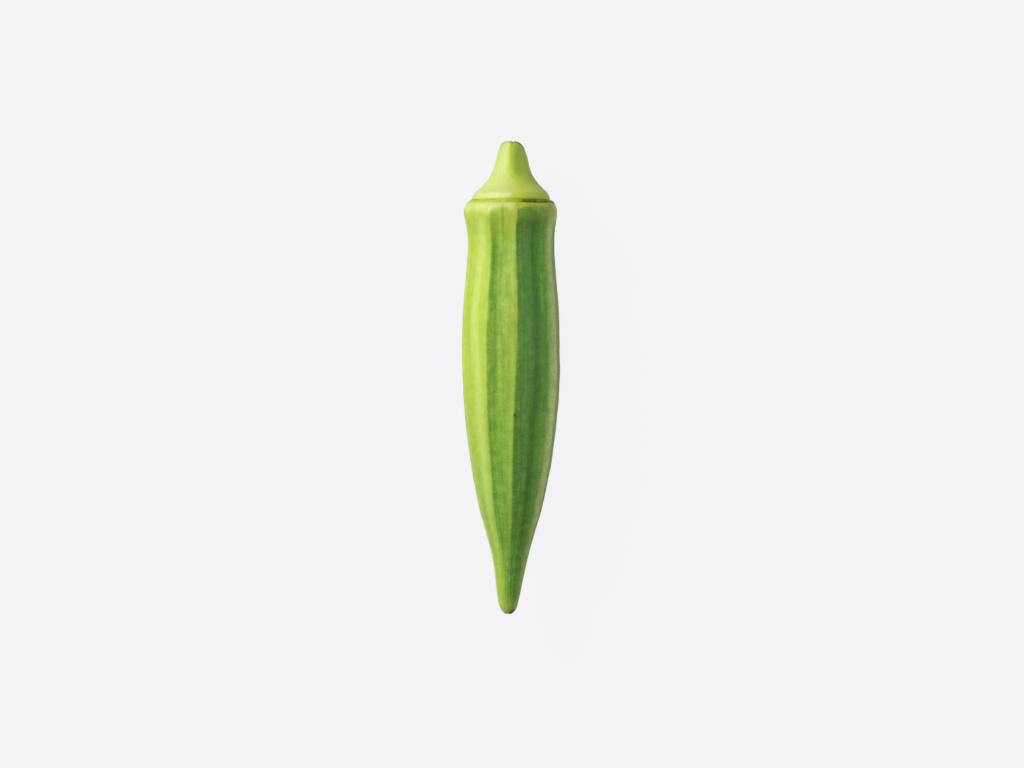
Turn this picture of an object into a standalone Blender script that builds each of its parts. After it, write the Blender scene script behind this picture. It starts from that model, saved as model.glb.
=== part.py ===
"""An okra pod as picked, lying on its side.

It has two grown pieces, which meet at the scar that the fallen calyx left round it: the
ridged green pod, and the pale cap that flares out from the cut stalk.

Units are metres and +Z is up. The cut stalk points to +Y and the tip to -Y, and the origin
is on the table under the middle of the whole. Both pieces are shaped standing on their tip,
about local Z, with the scar at z = 0 and their face to -Y. An empty lays them on their back.
"""

import math

import bmesh
import bpy
import numpy as np

MM = 0.001

# Driving dimensions.
POD_LENGTH = 87.4 * MM  # scar to tip
BELLY_RADIUS = 10.43 * MM  # where the pod is widest, halfway between crest and valley
CAP_HEIGHT = 12.3 * MM  # scar to the cut end of the stalk, on its axis
CAP_RADIUS = 8.3 * MM  # the cap's lip
SCAR_GAP = 0.3 * MM  # the open scar between pod and cap
PRESSED_FLAT = 0.16 * MM  # how much the two lowest ridges are pressed flat by the pod's weight

# The pod's outline from the scar's edge to the tip: shares of POD_LENGTH and BELLY_RADIUS.
POD_OUTLINE = (
    (0.000, 0.822),
    (0.006, 0.896),
    (0.027, 0.965),  # shoulder
    (0.088, 0.878),  # waist
    (0.206, 0.933),
    (0.355, 1.000),  # belly
    (0.503, 0.952),
    (0.618, 0.837),
    (0.732, 0.665),
    (0.824, 0.444),
    (0.904, 0.294),
    (0.976, 0.194),
    (0.995, 0.088),
    (1.000, 0.000),  # tip
)

# The cap's outline from its lip up past the cut: shares of CAP_HEIGHT and CAP_RADIUS.
CAP_OUTLINE = (
    (0.000, 0.975),
    (0.030, 1.000),  # lip
    (0.105, 0.940),
    (0.170, 0.790),
    (0.265, 0.685),
    (0.400, 0.540),
    (0.580, 0.450),
    (0.800, 0.370),
    (0.930, 0.305),
    (1.080, 0.230),
)

# Ridges of the pod, in degrees round the axis from its face, and how far each one leans
# by the time it reaches the tip. The two at 157 and 203 are the ones that it lies on.
POD_RIDGES = (8, 58, 106, 157, 203, 245, 289, 333)
POD_RIDGE_LEANS = (-13, 3, 2, 0, 2, 3, 4, 5)
POD_VALLEY_PLACES = (0.50, 0.48, 0.52, 0.50, 0.47, 0.50, 0.46, 0.30)  # share of the way to the next
LEAN_STARTS = 0.45  # share of the length where the ridges begin to lean
POD_RELIEF = 0.118  # crest to valley, as a share of the radius
CREST_SHARE = 0.4  # how much of the relief stands outside the outline
CREST_ROUNDING = 0.10  # share of a ridge's half spacing

# Corners of the stalk, which run down the cap to its lip.
CAP_CORNERS = (1, 74, 146, 217, 289)
STALK_RELIEF = 0.085
LIP_RELIEF = 0.03
CUT_TILT = 7  # degrees, the cut end of the stalk towards +X

TIP_BEND = 0.55 * MM  # how far the tip is drawn to -X
STALK_BEND = 0.20 * MM  # and the cut end of the stalk to +X

# Mesh steps.
STEPS_PER_RIDGE = 10
STEPS_PER_CORNER = 12
POD_RINGS = 54
CAP_RINGS = 22
EVEN_SHARE = 0.15  # the rest of the rings' spacing is closer towards both ends of an outline
WELD = 0.001 * MM

POD_COLOUR = (0.200, 0.385, 0.062, 1.0)
CAP_COLOUR = (0.520, 0.640, 0.160, 1.0)
SKIN_ROUGHNESS = 0.45


def smoothstep(start, end, value):
    """0 before start, 1 after end, and an even turn between them."""
    share = min(1.0, max(0.0, (value - start) / (end - start)))
    return share * share * (3.0 - 2.0 * share)


def smooth_outline(points, count):
    """count + 1 places on the natural cubic spline through points, closer near its ends."""
    knots = np.array(points, float)
    at = np.concatenate([[0.0], np.cumsum(np.linalg.norm(np.diff(knots, axis=0), axis=1))])
    step = np.diff(at)
    slope = np.diff(knots, axis=0) / step[:, None]
    system = np.eye(len(knots))
    change = np.zeros_like(knots)
    for i in range(1, len(knots) - 1):
        system[i, i - 1 : i + 2] = step[i - 1], 2 * (step[i - 1] + step[i]), step[i]
        change[i] = 6 * (slope[i] - slope[i - 1])
    bend = np.linalg.solve(system, change)
    even = np.linspace(0.0, 1.0, count + 1)
    wanted = at[-1] * (EVEN_SHARE * even + (1 - EVEN_SHARE) * (1 - np.cos(math.pi * even)) / 2)
    piece = np.clip(np.searchsorted(at, wanted, side="right") - 1, 0, len(step) - 1)
    width = step[piece, None]
    after = (wanted - at[piece])[:, None]
    before = width - after
    cubic = bend[piece] * before**3 / (6 * width) + bend[piece + 1] * after**3 / (6 * width)
    start = knots[piece] / width - bend[piece] * width / 6
    end = knots[piece + 1] / width - bend[piece + 1] * width / 6
    return cubic + start * before + end * after


def spun(outline, steps):
    """A closed mesh turned about local Z from (radius, z) places, the first one nearest the axis."""
    mesh = bmesh.new()
    verts = [mesh.verts.new((0.0, -radius, z)) for radius, z in outline]
    edges = [mesh.edges.new(pair) for pair in zip(verts, verts[1:])]
    bmesh.ops.spin(
        mesh,
        geom=verts + edges,
        cent=(0, 0, 0),
        axis=(0, 0, 1),
        angle=math.tau,
        steps=steps,
        use_merge=True,
    )
    bmesh.ops.remove_doubles(mesh, verts=mesh.verts, dist=WELD)
    bmesh.ops.recalc_face_normals(mesh, faces=mesh.faces)
    return mesh


def between_ridges(turn, ridges):
    """Which ridge comes before this turn (0 to 1 round the spun mesh), and the share past it."""
    place = turn * len(ridges)
    index = int(place + 1e-6) % len(ridges)
    return index, max(0.0, place - math.floor(place + 1e-6))


def valley(share, lowest):
    """0 on a rounded crest and 1 in the valley floor, whose place between two crests is lowest."""
    side = lowest if share < lowest else 1.0 - lowest
    from_crest = (share if share < lowest else 1.0 - share) / side
    rounded = math.hypot(from_crest, CREST_ROUNDING) - CREST_ROUNDING
    across = rounded / (math.hypot(1.0, CREST_ROUNDING) - CREST_ROUNDING)
    return 1.0 - (1.0 - across) ** 2


def pod_relief(along):
    """Depth of the pod's valleys at a share of its length, as a share of the radius."""
    grown = 0.22 + 0.78 * smoothstep(0.0, 0.085, along)
    swollen = 1.0 - 0.16 * smoothstep(0.12, 0.32, along) * (1.0 - smoothstep(0.45, 0.70, along))
    tip = 1.0 - 0.45 * smoothstep(0.88, 1.0, along)
    return POD_RELIEF * grown * swollen * tip


def ridge_angle(index, along):
    """Angle of a ridge of the pod at a share of its length, in radians."""
    lean = POD_RIDGE_LEANS[index] * smoothstep(LEAN_STARTS, 1.0, along)
    return math.radians(POD_RIDGES[index] + lean)


def raise_pod_ridges(mesh):
    """Moves the spun pod's points out to the crests, into the valleys and over to the bend."""
    for vert in mesh.verts:
        radius = math.hypot(vert.co.x, vert.co.y)
        along = -vert.co.z / POD_LENGTH
        turn = math.atan2(vert.co.x, -vert.co.y) / math.tau % 1.0
        index, share = between_ridges(turn, POD_RIDGES)
        following = (index + 1) % len(POD_RIDGES)
        first = ridge_angle(index, along)
        spacing = (ridge_angle(following, along) - first) % math.tau
        angle = first + share * spacing
        height = CREST_SHARE - valley(share, POD_VALLEY_PLACES[index])
        radius *= 1.0 + pod_relief(along) * height
        bend = -TIP_BEND * smoothstep(0.6, 1.0, along) ** 2
        vert.co.x = radius * math.sin(angle) + bend
        vert.co.y = -radius * math.cos(angle)


def raise_cap_corners(mesh):
    """Gives the spun cap the stalk's corners, which fade towards its lip."""
    for vert in mesh.verts:
        radius = math.hypot(vert.co.x, vert.co.y)
        along = vert.co.z / CAP_HEIGHT
        turn = math.atan2(vert.co.x, -vert.co.y) / math.tau % 1.0
        index, share = between_ridges(turn, CAP_CORNERS)
        first = CAP_CORNERS[index]
        spacing = (CAP_CORNERS[(index + 1) % len(CAP_CORNERS)] - first) % 360
        angle = math.radians(first + share * spacing)
        relief = LIP_RELIEF + (STALK_RELIEF - LIP_RELIEF) * smoothstep(0.1, 0.55, along)
        radius *= 1.0 + relief * (CREST_SHARE - valley(share, 0.5))
        bend = STALK_BEND * max(0.0, along) ** 2
        vert.co.x = radius * math.sin(angle) + bend
        vert.co.y = -radius * math.cos(angle)


def cut_flat(mesh, point, outwards):
    """Takes off what lies beyond a plane, and closes the cut with a flat face."""
    geom = mesh.verts[:] + mesh.edges[:] + mesh.faces[:]
    bmesh.ops.bisect_plane(
        mesh, geom=geom, dist=WELD, plane_co=point, plane_no=outwards, clear_outer=True
    )
    rim = [edge for edge in mesh.edges if edge.is_boundary]
    bmesh.ops.holes_fill(mesh, edges=rim, sides=0)


def pod_mesh():
    """The ridged pod, and how high its axis lies above what it rests on."""
    outline = smooth_outline(POD_OUTLINE, POD_RINGS)
    places = [(radius * BELLY_RADIUS, -along * POD_LENGTH) for along, radius in outline]
    mesh = spun([(0.0, 0.0), *places[:-1], (0.0, -POD_LENGTH)], STEPS_PER_RIDGE * len(POD_RIDGES))
    raise_pod_ridges(mesh)
    axis_height = max(vert.co.y for vert in mesh.verts) - PRESSED_FLAT
    cut_flat(mesh, (0.0, axis_height, 0.0), (0.0, 1.0, 0.0))
    return mesh, axis_height


def cap_mesh():
    """The stem cap, from the scar to the slanting cut of its stalk."""
    outline = smooth_outline(CAP_OUTLINE, CAP_RINGS)
    places = [(radius * CAP_RADIUS, SCAR_GAP + along * CAP_HEIGHT) for along, radius in outline]
    top = (0.0, places[-1][1])
    mesh = spun([(0.0, SCAR_GAP), *places, top], STEPS_PER_CORNER * len(CAP_CORNERS))
    raise_cap_corners(mesh)
    tilt = math.radians(CUT_TILT)
    cut_flat(mesh, (0.0, 0.0, CAP_HEIGHT), (math.sin(tilt), 0.0, math.cos(tilt)))
    return mesh


def material(name, colour):
    """A plain satin skin."""
    made = bpy.data.materials.new(name)
    made.use_nodes = True
    made.diffuse_color = colour
    shader = made.node_tree.nodes["Principled BSDF"]
    shader.inputs["Base Color"].default_value = colour
    shader.inputs["Roughness"].default_value = SKIN_ROUGHNESS
    shader.inputs["Metallic"].default_value = 0.0
    return made


def add_piece(name, mesh, colour, parent, collection):
    """Makes an object of a finished mesh, carried by parent."""
    data = bpy.data.meshes.new(name)
    mesh.to_mesh(data)
    mesh.free()
    data.shade_smooth()
    data.set_sharp_from_angle(angle=math.radians(40))
    data.materials.append(material(name + "_skin", colour))
    made = bpy.data.objects.new(name, data)
    made.parent = parent
    collection.objects.link(made)
    return made


def lay_down(parent, pieces, axis_height):
    """Lays the pieces on their back, with the middle of their footprint at the origin."""
    across = [vert.co.x for piece in pieces for vert in piece.data.vertices]
    upright = [vert.co.z for piece in pieces for vert in piece.data.vertices]
    parent.rotation_euler = (-math.pi / 2, 0.0, 0.0)
    parent.location = (
        -(min(across) + max(across)) / 2,
        -(min(upright) + max(upright)) / 2,
        axis_height,
    )


def main():
    """Builds the okra pod."""
    for stale in list(bpy.data.objects):
        bpy.data.objects.remove(stale)
    collection = bpy.data.collections.new("okra_pod")
    bpy.context.scene.collection.children.link(collection)
    laid = bpy.data.objects.new("okra_pod_axis", None)
    collection.objects.link(laid)
    mesh, axis_height = pod_mesh()
    pieces = [
        add_piece("pod", mesh, POD_COLOUR, laid, collection),
        add_piece("stem_cap", cap_mesh(), CAP_COLOUR, laid, collection),
    ]
    lay_down(laid, pieces, axis_height)


main()
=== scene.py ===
"""Dresses the okra pod: its skin, down, scars and cut stalk, with a floor, lights and a camera.

Everything is in metres. The pod lies along Y, with its cut stalk at +Y and its tip at -Y, and
angles round it are counted from straight up (+Z) towards +X.
"""

import logging
import math
from collections.abc import Sequence
from dataclasses import dataclass
from enum import Enum

import bmesh
import bpy
import numpy as np
from mathutils import Matrix, Vector


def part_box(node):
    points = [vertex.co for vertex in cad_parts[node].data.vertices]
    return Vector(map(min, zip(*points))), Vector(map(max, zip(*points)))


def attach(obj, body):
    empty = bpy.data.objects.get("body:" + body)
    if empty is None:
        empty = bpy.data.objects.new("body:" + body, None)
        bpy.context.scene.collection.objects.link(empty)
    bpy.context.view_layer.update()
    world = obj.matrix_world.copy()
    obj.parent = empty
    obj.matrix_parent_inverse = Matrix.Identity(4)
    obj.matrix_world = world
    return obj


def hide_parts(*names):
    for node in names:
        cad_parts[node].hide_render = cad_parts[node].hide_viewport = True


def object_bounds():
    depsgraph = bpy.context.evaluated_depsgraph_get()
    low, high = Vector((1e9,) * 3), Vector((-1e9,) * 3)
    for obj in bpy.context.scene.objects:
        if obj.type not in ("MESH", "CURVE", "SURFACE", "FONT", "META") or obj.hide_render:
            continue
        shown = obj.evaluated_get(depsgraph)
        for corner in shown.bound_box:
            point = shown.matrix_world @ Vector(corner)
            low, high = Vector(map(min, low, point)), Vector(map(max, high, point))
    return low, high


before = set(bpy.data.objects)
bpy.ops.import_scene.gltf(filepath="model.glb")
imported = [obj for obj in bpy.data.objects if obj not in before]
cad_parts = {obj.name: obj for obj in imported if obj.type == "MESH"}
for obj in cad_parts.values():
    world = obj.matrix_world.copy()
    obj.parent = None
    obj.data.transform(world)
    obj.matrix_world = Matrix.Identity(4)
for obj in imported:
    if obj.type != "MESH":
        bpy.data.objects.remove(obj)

CAD_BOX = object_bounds()
MM = 0.001
BODY = "root"
NUDGE = 1e-6
FLOOR_HEIGHT = 0.0
USUAL_NOISE = (0.3, 0.7)
LOG = logging.getLogger("okra_pod")

Colour = tuple[float, float, float]
Point = tuple[float, float]
Place = tuple[float, float, float]
Numbers = float | np.ndarray
Socket = bpy.types.NodeSocket


class Slot(Enum):
    """The record's material slots."""

    POD = "pod_skin"
    CAP = "cap_skin"


# --------------------------------------------------------------------------- shape helpers


def smoothstep(start: Numbers, end: Numbers, value: Numbers) -> np.ndarray:
    """Turns evenly from 0 to 1, or down from 1 to 0 where the end is the lower number.

    Args:
        start: Where it is still 0.
        end: Where it reaches 1.
        value: The numbers to turn.

    Returns:
        A number from 0 to 1 for each value.
    """
    share = np.clip((np.asarray(value, float) - start) / (end - start), 0.0, 1.0)
    return share * share * (3.0 - 2.0 * share)


def bell(centre: Numbers, width: Numbers, value: Numbers) -> np.ndarray:
    """A bump of height 1.

    Args:
        centre: Where the bump is highest.
        width: How far from there it has fallen to about a third.
        value: The numbers to read it at.

    Returns:
        The bump's height at each value.
    """
    return np.exp(-(((np.asarray(value, float) - centre) / width) ** 2))


def turned_away(angle: np.ndarray, from_angle: Numbers) -> np.ndarray:
    """How far angles are turned from another one, in radians from -pi to pi."""
    return (angle - from_angle + math.pi) % math.tau - math.pi


@dataclass(frozen=True)
class Outline:
    """The outline that a piece is turned from, as a natural cubic spline.

    Attributes:
        points: Places as (share of the length, share of the largest radius).
        even_share: How much of the spacing is even; the rest is closer at both ends.
    """

    points: tuple[Point, ...]
    even_share: float = 0.35

    def places(self, count: int) -> np.ndarray:
        """Reads the outline.

        Args:
            count: How many steps to walk it in.

        Returns:
            count + 1 rows of (share of the length, share of the radius).
        """
        knots = np.array(self.points, float)
        at = np.concatenate([[0.0], np.cumsum(np.linalg.norm(np.diff(knots, axis=0), axis=1))])
        step = np.diff(at)
        slope = np.diff(knots, axis=0) / step[:, None]
        system = np.eye(len(knots))
        change = np.zeros_like(knots)
        for i in range(1, len(knots) - 1):
            system[i, i - 1 : i + 2] = step[i - 1], 2 * (step[i - 1] + step[i]), step[i]
            change[i] = 6 * (slope[i] - slope[i - 1])
        bend = np.linalg.solve(system, change)
        even = np.linspace(0.0, 1.0, count + 1)
        eased = (1.0 - np.cos(math.pi * even)) / 2.0
        wanted = at[-1] * (self.even_share * even + (1.0 - self.even_share) * eased)
        piece = np.clip(np.searchsorted(at, wanted, side="right") - 1, 0, len(step) - 1)
        width = step[piece, None]
        after = (wanted - at[piece])[:, None]
        before = width - after
        cubic = (bend[piece] * before**3 + bend[piece + 1] * after**3) / (6 * width)
        start = knots[piece] / width - bend[piece] * width / 6
        end = knots[piece + 1] / width - bend[piece + 1] * width / 6
        return cubic + start * before + end * after


@dataclass(frozen=True)
class Waves:
    """An unevenness that closes on itself round the axis: a seeded sum of sine waves.

    Attributes:
        seed: Seed of the draw.
        count: How many waves are added.
        round_: Fewest and most waves round the axis.
        along: Fewest and most waves from end to end.
    """

    seed: int
    count: int
    round_: tuple[int, int]
    along: tuple[float, float]

    def height(self, angle: np.ndarray, along: np.ndarray) -> np.ndarray:
        """Reads the unevenness.

        Args:
            angle: Angles round the axis, in radians.
            along: Shares of the length.

        Returns:
            Heights, mostly from -1 to 1.
        """
        draw = np.random.default_rng(self.seed)
        total = np.zeros_like(np.asarray(angle, float))
        for _ in range(self.count):
            turns = draw.integers(self.round_[0], self.round_[1] + 1) * draw.choice((-1, 1))
            lengths = draw.uniform(*self.along) * math.tau
            total += np.sin(turns * angle + lengths * along + draw.uniform(0.0, math.tau))
        return total / math.sqrt(2.0 * self.count)


@dataclass(frozen=True)
class Ribs:
    """Lengthwise ribs round an axis, with hollows between them.

    Attributes:
        angles: The crest of each rib, in degrees.
        leans: How far each crest has leaned, in degrees, where the lean is 1.
        hollow_places: Lowest place of each hollow, as a share of the way to the next crest.
        hollow_depths: How deep each hollow is, against the deepest.
        hollow_fades: How much of each hollow is lost towards the tip.
        roundings: How blunt each crest is, as a share of half the spacing.
        crowding: From 0 to 1, how much closer the mesh's lines are near the crests.
    """

    angles: tuple[float, ...]
    leans: tuple[float, ...]
    hollow_places: tuple[float, ...]
    hollow_depths: tuple[float, ...]
    hollow_fades: tuple[float, ...]
    roundings: tuple[float, ...]
    crowding: float

    def place(self, turn: np.ndarray, lean: np.ndarray) -> tuple[np.ndarray, ...]:
        """Finds where points of the plain turned mesh go.

        Args:
            turn: How far round each point was turned, from 0 to 1.
            lean: From 0 to 1, how much of the lean each point has.

        Returns:
            The angle in radians, the rib before each point, and the share past it.
        """
        count = len(self.angles)
        place = turn * count + NUDGE
        rib = np.floor(place).astype(int) % count
        even = np.clip(place - np.floor(place) - NUDGE, 0.0, 1.0)
        share = even - self.crowding * np.sin(math.tau * even) / math.tau
        crest = np.radians(np.array(self.angles)[:, None] + np.outer(self.leans, lean))
        columns = np.arange(len(turn))
        first = crest[rib, columns]
        spacing = (crest[(rib + 1) % count, columns] - first) % math.tau
        return first + share * spacing, rib, share

    def depth(self, rib: np.ndarray, share: np.ndarray, faded: np.ndarray) -> np.ndarray:
        """How far points lie below the crests.

        Args:
            rib: The rib before each point.
            share: The share of the way to the next rib.
            faded: From 0 to 1, how much of the fading each point has.

        Returns:
            0 on a crest, and 1 on the floor of the deepest hollow.
        """
        lowest = np.array(self.hollow_places)[rib]
        side = np.where(share < lowest, lowest, 1.0 - lowest)
        from_crest = np.where(share < lowest, share, 1.0 - share) / side
        blunt = np.array(self.roundings)
        blunt = np.where(share < lowest, blunt[rib], blunt[(rib + 1) % len(blunt)])
        across = (np.hypot(from_crest, blunt) - blunt) / (np.hypot(1.0, blunt) - blunt)
        deepest = np.array(self.hollow_depths)[rib] * (1.0 - np.array(self.hollow_fades)[rib] * faded)
        return (1.0 - (1.0 - across) ** 2) * deepest


def turned(places: Sequence[Point], steps: int) -> bmesh.types.BMesh:
    """Turns an outline round the Y axis.

    Args:
        places: Places from end to end as (y, radius), the first and last on the axis.
        steps: How many steps to turn it in.

    Returns:
        A closed mesh with its faces pointing out.
    """
    mesh = bmesh.new()
    verts = [mesh.verts.new((0.0, y, radius)) for y, radius in places]
    edges = [mesh.edges.new(pair) for pair in zip(verts, verts[1:])]
    bmesh.ops.spin(
        mesh,
        geom=verts + edges,
        cent=(0, 0, 0),
        axis=(0, 1, 0),
        angle=math.tau,
        steps=steps,
        use_merge=True,
    )
    bmesh.ops.remove_doubles(mesh, verts=mesh.verts, dist=0.0005 * MM)
    bmesh.ops.recalc_face_normals(mesh, faces=mesh.faces)
    return mesh


def points_of(mesh: bpy.types.Mesh) -> np.ndarray:
    """All points of a mesh, one row each."""
    points = np.zeros(len(mesh.vertices) * 3, np.float32)
    mesh.vertices.foreach_get("co", points)
    return points.reshape(-1, 3).astype(float)


def move_points(mesh: bpy.types.Mesh, points: np.ndarray) -> None:
    """Moves all points of a mesh to these rows."""
    mesh.vertices.foreach_set("co", points.astype(np.float32).ravel())
    mesh.update()


def paint(mesh: bpy.types.Mesh, name: str, values: np.ndarray) -> None:
    """Stores a number or a vector on each point, for a material to read.

    Args:
        mesh: The mesh to store it on.
        name: What the material calls it.
        values: One number, or one row of three, for each point.
    """
    kind, key = ("FLOAT_VECTOR", "vector") if values.ndim == 2 else ("FLOAT", "value")
    layer = mesh.attributes.new(name, kind, "POINT")
    layer.data.foreach_set(key, values.astype(np.float32).ravel())


def painted_on(mesh: bpy.types.Mesh, name: str) -> np.ndarray:
    """What `paint` has stored under a name, one number a point."""
    values = np.zeros(len(mesh.vertices), np.float32)
    mesh.attributes[name].data.foreach_get("value", values)
    return values.astype(float)


def piece(name: str, mesh: bpy.types.Mesh, material: bpy.types.Material) -> bpy.types.Object:
    """Makes a smooth object of a finished mesh.

    Args:
        name: The piece's name.
        mesh: Its mesh, in place.
        material: Its only material.

    Returns:
        The object, linked to the scene.
    """
    mesh.name = name
    mesh.shade_smooth()
    mesh.materials.append(material)
    made = bpy.data.objects.new(name, mesh)
    bpy.context.scene.collection.objects.link(made)
    return made


def mesh_from(built: bmesh.types.BMesh, name: str) -> bpy.types.Mesh:
    """Turns a finished bmesh into a mesh and frees it."""
    mesh = bpy.data.meshes.new(name)
    built.to_mesh(mesh)
    built.free()
    return mesh


# --------------------------------------------------------------------------- node helpers


class Bench:
    """Adds nodes to one node tree and wires them up."""

    def __init__(self, tree: bpy.types.NodeTree) -> None:
        """Starts on a tree, which may already hold nodes."""
        self.tree = tree

    def node(self, kind: str, **settings: object) -> bpy.types.Node:
        """Adds a node.

        Args:
            kind: The node's type name, without "ShaderNode".
            settings: Properties to set on it.

        Returns:
            The new node.
        """
        made = self.tree.nodes.new("ShaderNode" + kind)
        for key, value in settings.items():
            setattr(made, key, value)
        return made

    def feed(self, socket: Socket, value: object) -> None:
        """Links a socket to another one, or sets its value.

        Args:
            socket: The socket to feed.
            value: A socket, a number, a vector, or a colour without its alpha.
        """
        if isinstance(value, Socket):
            self.tree.links.new(value, socket)
        elif isinstance(value, tuple) and len(value) == 3 and socket.type == "RGBA":
            socket.default_value = (*value, 1.0)
        else:
            socket.default_value = value

    def math(self, operation: str, *values: object, clamp: bool = False) -> Socket:
        """Adds a Math node and returns its result."""
        made = self.node("Math", operation=operation, use_clamp=clamp)
        for socket, value in zip(made.inputs, values):
            self.feed(socket, value)
        return made.outputs[0]

    def plus(self, first: object, second: object) -> Socket:
        """The sum of two numbers."""
        return self.math("ADD", first, second)

    def times(self, first: object, second: object) -> Socket:
        """The product of two numbers."""
        return self.math("MULTIPLY", first, second)

    def swing(self, noise: Socket, amount: object) -> Socket:
        """Turns a noise from 0 to 1 into an even swing to both sides of 0."""
        return self.times(self.math("SUBTRACT", noise, 0.5), amount)

    def mix(self, factor: object, first: object, second: object) -> Socket:
        """Mixes two colours, which are the node's seventh and eighth inputs, and returns the result."""
        made = self.node("Mix", data_type="RGBA", clamp_factor=True)
        for socket, value in zip((made.inputs["Factor"], *made.inputs[6:8]), (factor, first, second)):
            self.feed(socket, value)
        return made.outputs[2]

    def lightened(self, colour: object, value: object) -> Socket:
        """Makes a colour lighter or darker and returns the result."""
        made = self.node("HueSaturation")
        self.feed(made.inputs["Value"], value)
        self.feed(made.inputs["Color"], colour)
        return made.outputs[0]

    def span(self, value: object, low: float, high: float, to: Point = (0.0, 1.0)) -> Socket:
        """Maps low to high smoothly onto a new range.

        Args:
            value: The number to map.
            low: Where the old range starts.
            high: Where it ends.
            to: The new range.

        Returns:
            The mapped number, which stays in the new range.
        """
        made = self.node("MapRange", interpolation_type="SMOOTHSTEP")
        for socket, number in zip(made.inputs[:5], (value, low, high, *to)):
            self.feed(socket, number)
        return made.outputs[0]

    def noise(self, place: Socket, scale: object, detail: float, rough: float = 0.5) -> Socket:
        """Adds a Noise Texture.

        Args:
            place: Where to read it.
            scale: How many times it changes in a metre.
            detail: How many finer layers it has.
            rough: How much each layer keeps of the one before.

        Returns:
            Its value, which stays near 0.5.
        """
        made = self.node("TexNoise")
        values = {"Vector": place, "Scale": scale, "Detail": detail, "Roughness": rough}
        for name, value in values.items():
            self.feed(made.inputs[name], value)
        return made.outputs[0]

    def object_place(self) -> Socket:
        """Where each point is on the finished piece, in metres."""
        return self.node("TexCoord").outputs["Object"]

    def painted(self, name: str, vector: bool = False) -> Socket:
        """What a mesh has painted on its points under this name."""
        made = self.node("Attribute", attribute_type="GEOMETRY", attribute_name=name)
        return made.outputs["Vector" if vector else "Fac"]

    def group(self, name: str, **values: object) -> bpy.types.Node:
        """Places a finished node group.

        Args:
            name: The group's name.
            values: What to feed its inputs, with _ in names for spaces.

        Returns:
            The group's node.
        """
        made = self.node("Group", node_tree=bpy.data.node_groups[name])
        for key, value in values.items():
            self.feed(made.inputs[key.replace("_", " ")], value)
        return made


@dataclass(frozen=True)
class GroupRecipe:
    """A shader node group with named inputs and outputs.

    Attributes:
        name: The group's name.
        inputs: Names, socket kinds and starting values.
        outputs: Names and socket kinds.
    """

    name: str
    inputs: tuple[tuple[str, str, object], ...]
    outputs: tuple[tuple[str, str], ...]

    def start(self) -> tuple[Bench, bpy.types.Node, bpy.types.Node]:
        """Makes the empty group.

        Returns:
            A bench on its tree, its input node and its output node.
        """
        tree = bpy.data.node_groups.new(self.name, "ShaderNodeTree")
        for name, kind, value in self.inputs:
            socket = tree.interface.new_socket(name=name, in_out="INPUT", socket_type=kind)
            if value is not None:
                socket.default_value = value
        for name, kind in self.outputs:
            tree.interface.new_socket(name=name, in_out="OUTPUT", socket_type=kind)
        bench = Bench(tree)
        return bench, tree.nodes.new("NodeGroupInput"), tree.nodes.new("NodeGroupOutput")


FLOAT, VECTOR, COLOUR = "NodeSocketFloat", "NodeSocketVector", "NodeSocketColor"


def make_mottle_group() -> None:
    """The velvety mottling of skin under short down: a fine grain over broader clouds."""
    recipe = GroupRecipe(
        "velvet_mottle",
        (("Place", VECTOR, None), ("Grain mm", FLOAT, 0.35), ("Cloud mm", FLOAT, 2.4)),
        (("Grain", FLOAT), ("Cloud", FLOAT)),
    )
    bench, given, out = recipe.start()
    grain_scale = bench.math("DIVIDE", 1.0 / MM, given.outputs["Grain mm"])
    cloud_scale = bench.math("DIVIDE", 1.0 / MM, given.outputs["Cloud mm"])
    grain = bench.noise(given.outputs["Place"], grain_scale, 2.0, 0.6)
    cloud = bench.noise(given.outputs["Place"], cloud_scale, 2.0, 0.5)
    bench.feed(out.inputs["Grain"], bench.span(grain, *USUAL_NOISE))
    bench.feed(out.inputs["Cloud"], bench.span(cloud, *USUAL_NOISE))


def make_fibre_group() -> None:
    """Fibres that run the length of a piece: noise drawn out along Y."""
    recipe = GroupRecipe(
        "lengthwise_fibres",
        (("Place", VECTOR, None), ("Width mm", FLOAT, 0.5), ("Stretch", FLOAT, 0.06)),
        (("Fibre", FLOAT),),
    )
    bench, given, out = recipe.start()
    scale = bench.math("DIVIDE", 1.0 / MM, given.outputs["Width mm"])
    squeeze = bench.node("CombineXYZ")
    bench.feed(squeeze.inputs[0], 1.0)
    bench.feed(squeeze.inputs[1], given.outputs["Stretch"])
    bench.feed(squeeze.inputs[2], 1.0)
    drawn = bench.node("VectorMath", operation="MULTIPLY")
    bench.feed(drawn.inputs[0], given.outputs["Place"])
    bench.feed(drawn.inputs[1], squeeze.outputs[0])
    fibre = bench.noise(drawn.outputs[0], scale, 3.0, 0.55)
    bench.feed(out.inputs["Fibre"], bench.span(fibre, *USUAL_NOISE))


def make_fleck_group() -> None:
    """Small round flecks, thinned out so that only some cells hold one."""
    recipe = GroupRecipe(
        "scattered_flecks",
        (
            ("Place", VECTOR, None),
            ("Spacing mm", FLOAT, 1.2),
            ("Size", FLOAT, 0.12),
            ("Share", FLOAT, 0.3),
        ),
        (("Fleck", FLOAT),),
    )
    bench, given, out = recipe.start()
    cells = bench.node("TexVoronoi", feature="F1")
    bench.feed(cells.inputs["Vector"], given.outputs["Place"])
    bench.feed(cells.inputs["Scale"], bench.math("DIVIDE", 1.0 / MM, given.outputs["Spacing mm"]))
    near = bench.math("DIVIDE", cells.outputs["Distance"], given.outputs["Size"])
    spot = bench.span(near, 1.0, 0.4)
    parts = bench.node("SeparateColor")
    bench.feed(parts.inputs[0], cells.outputs["Color"])
    kept = bench.math("LESS_THAN", parts.outputs[0], given.outputs["Share"])
    bench.feed(out.inputs["Fleck"], bench.times(spot, kept))


# --------------------------------------------------------------------------- finishes


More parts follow.
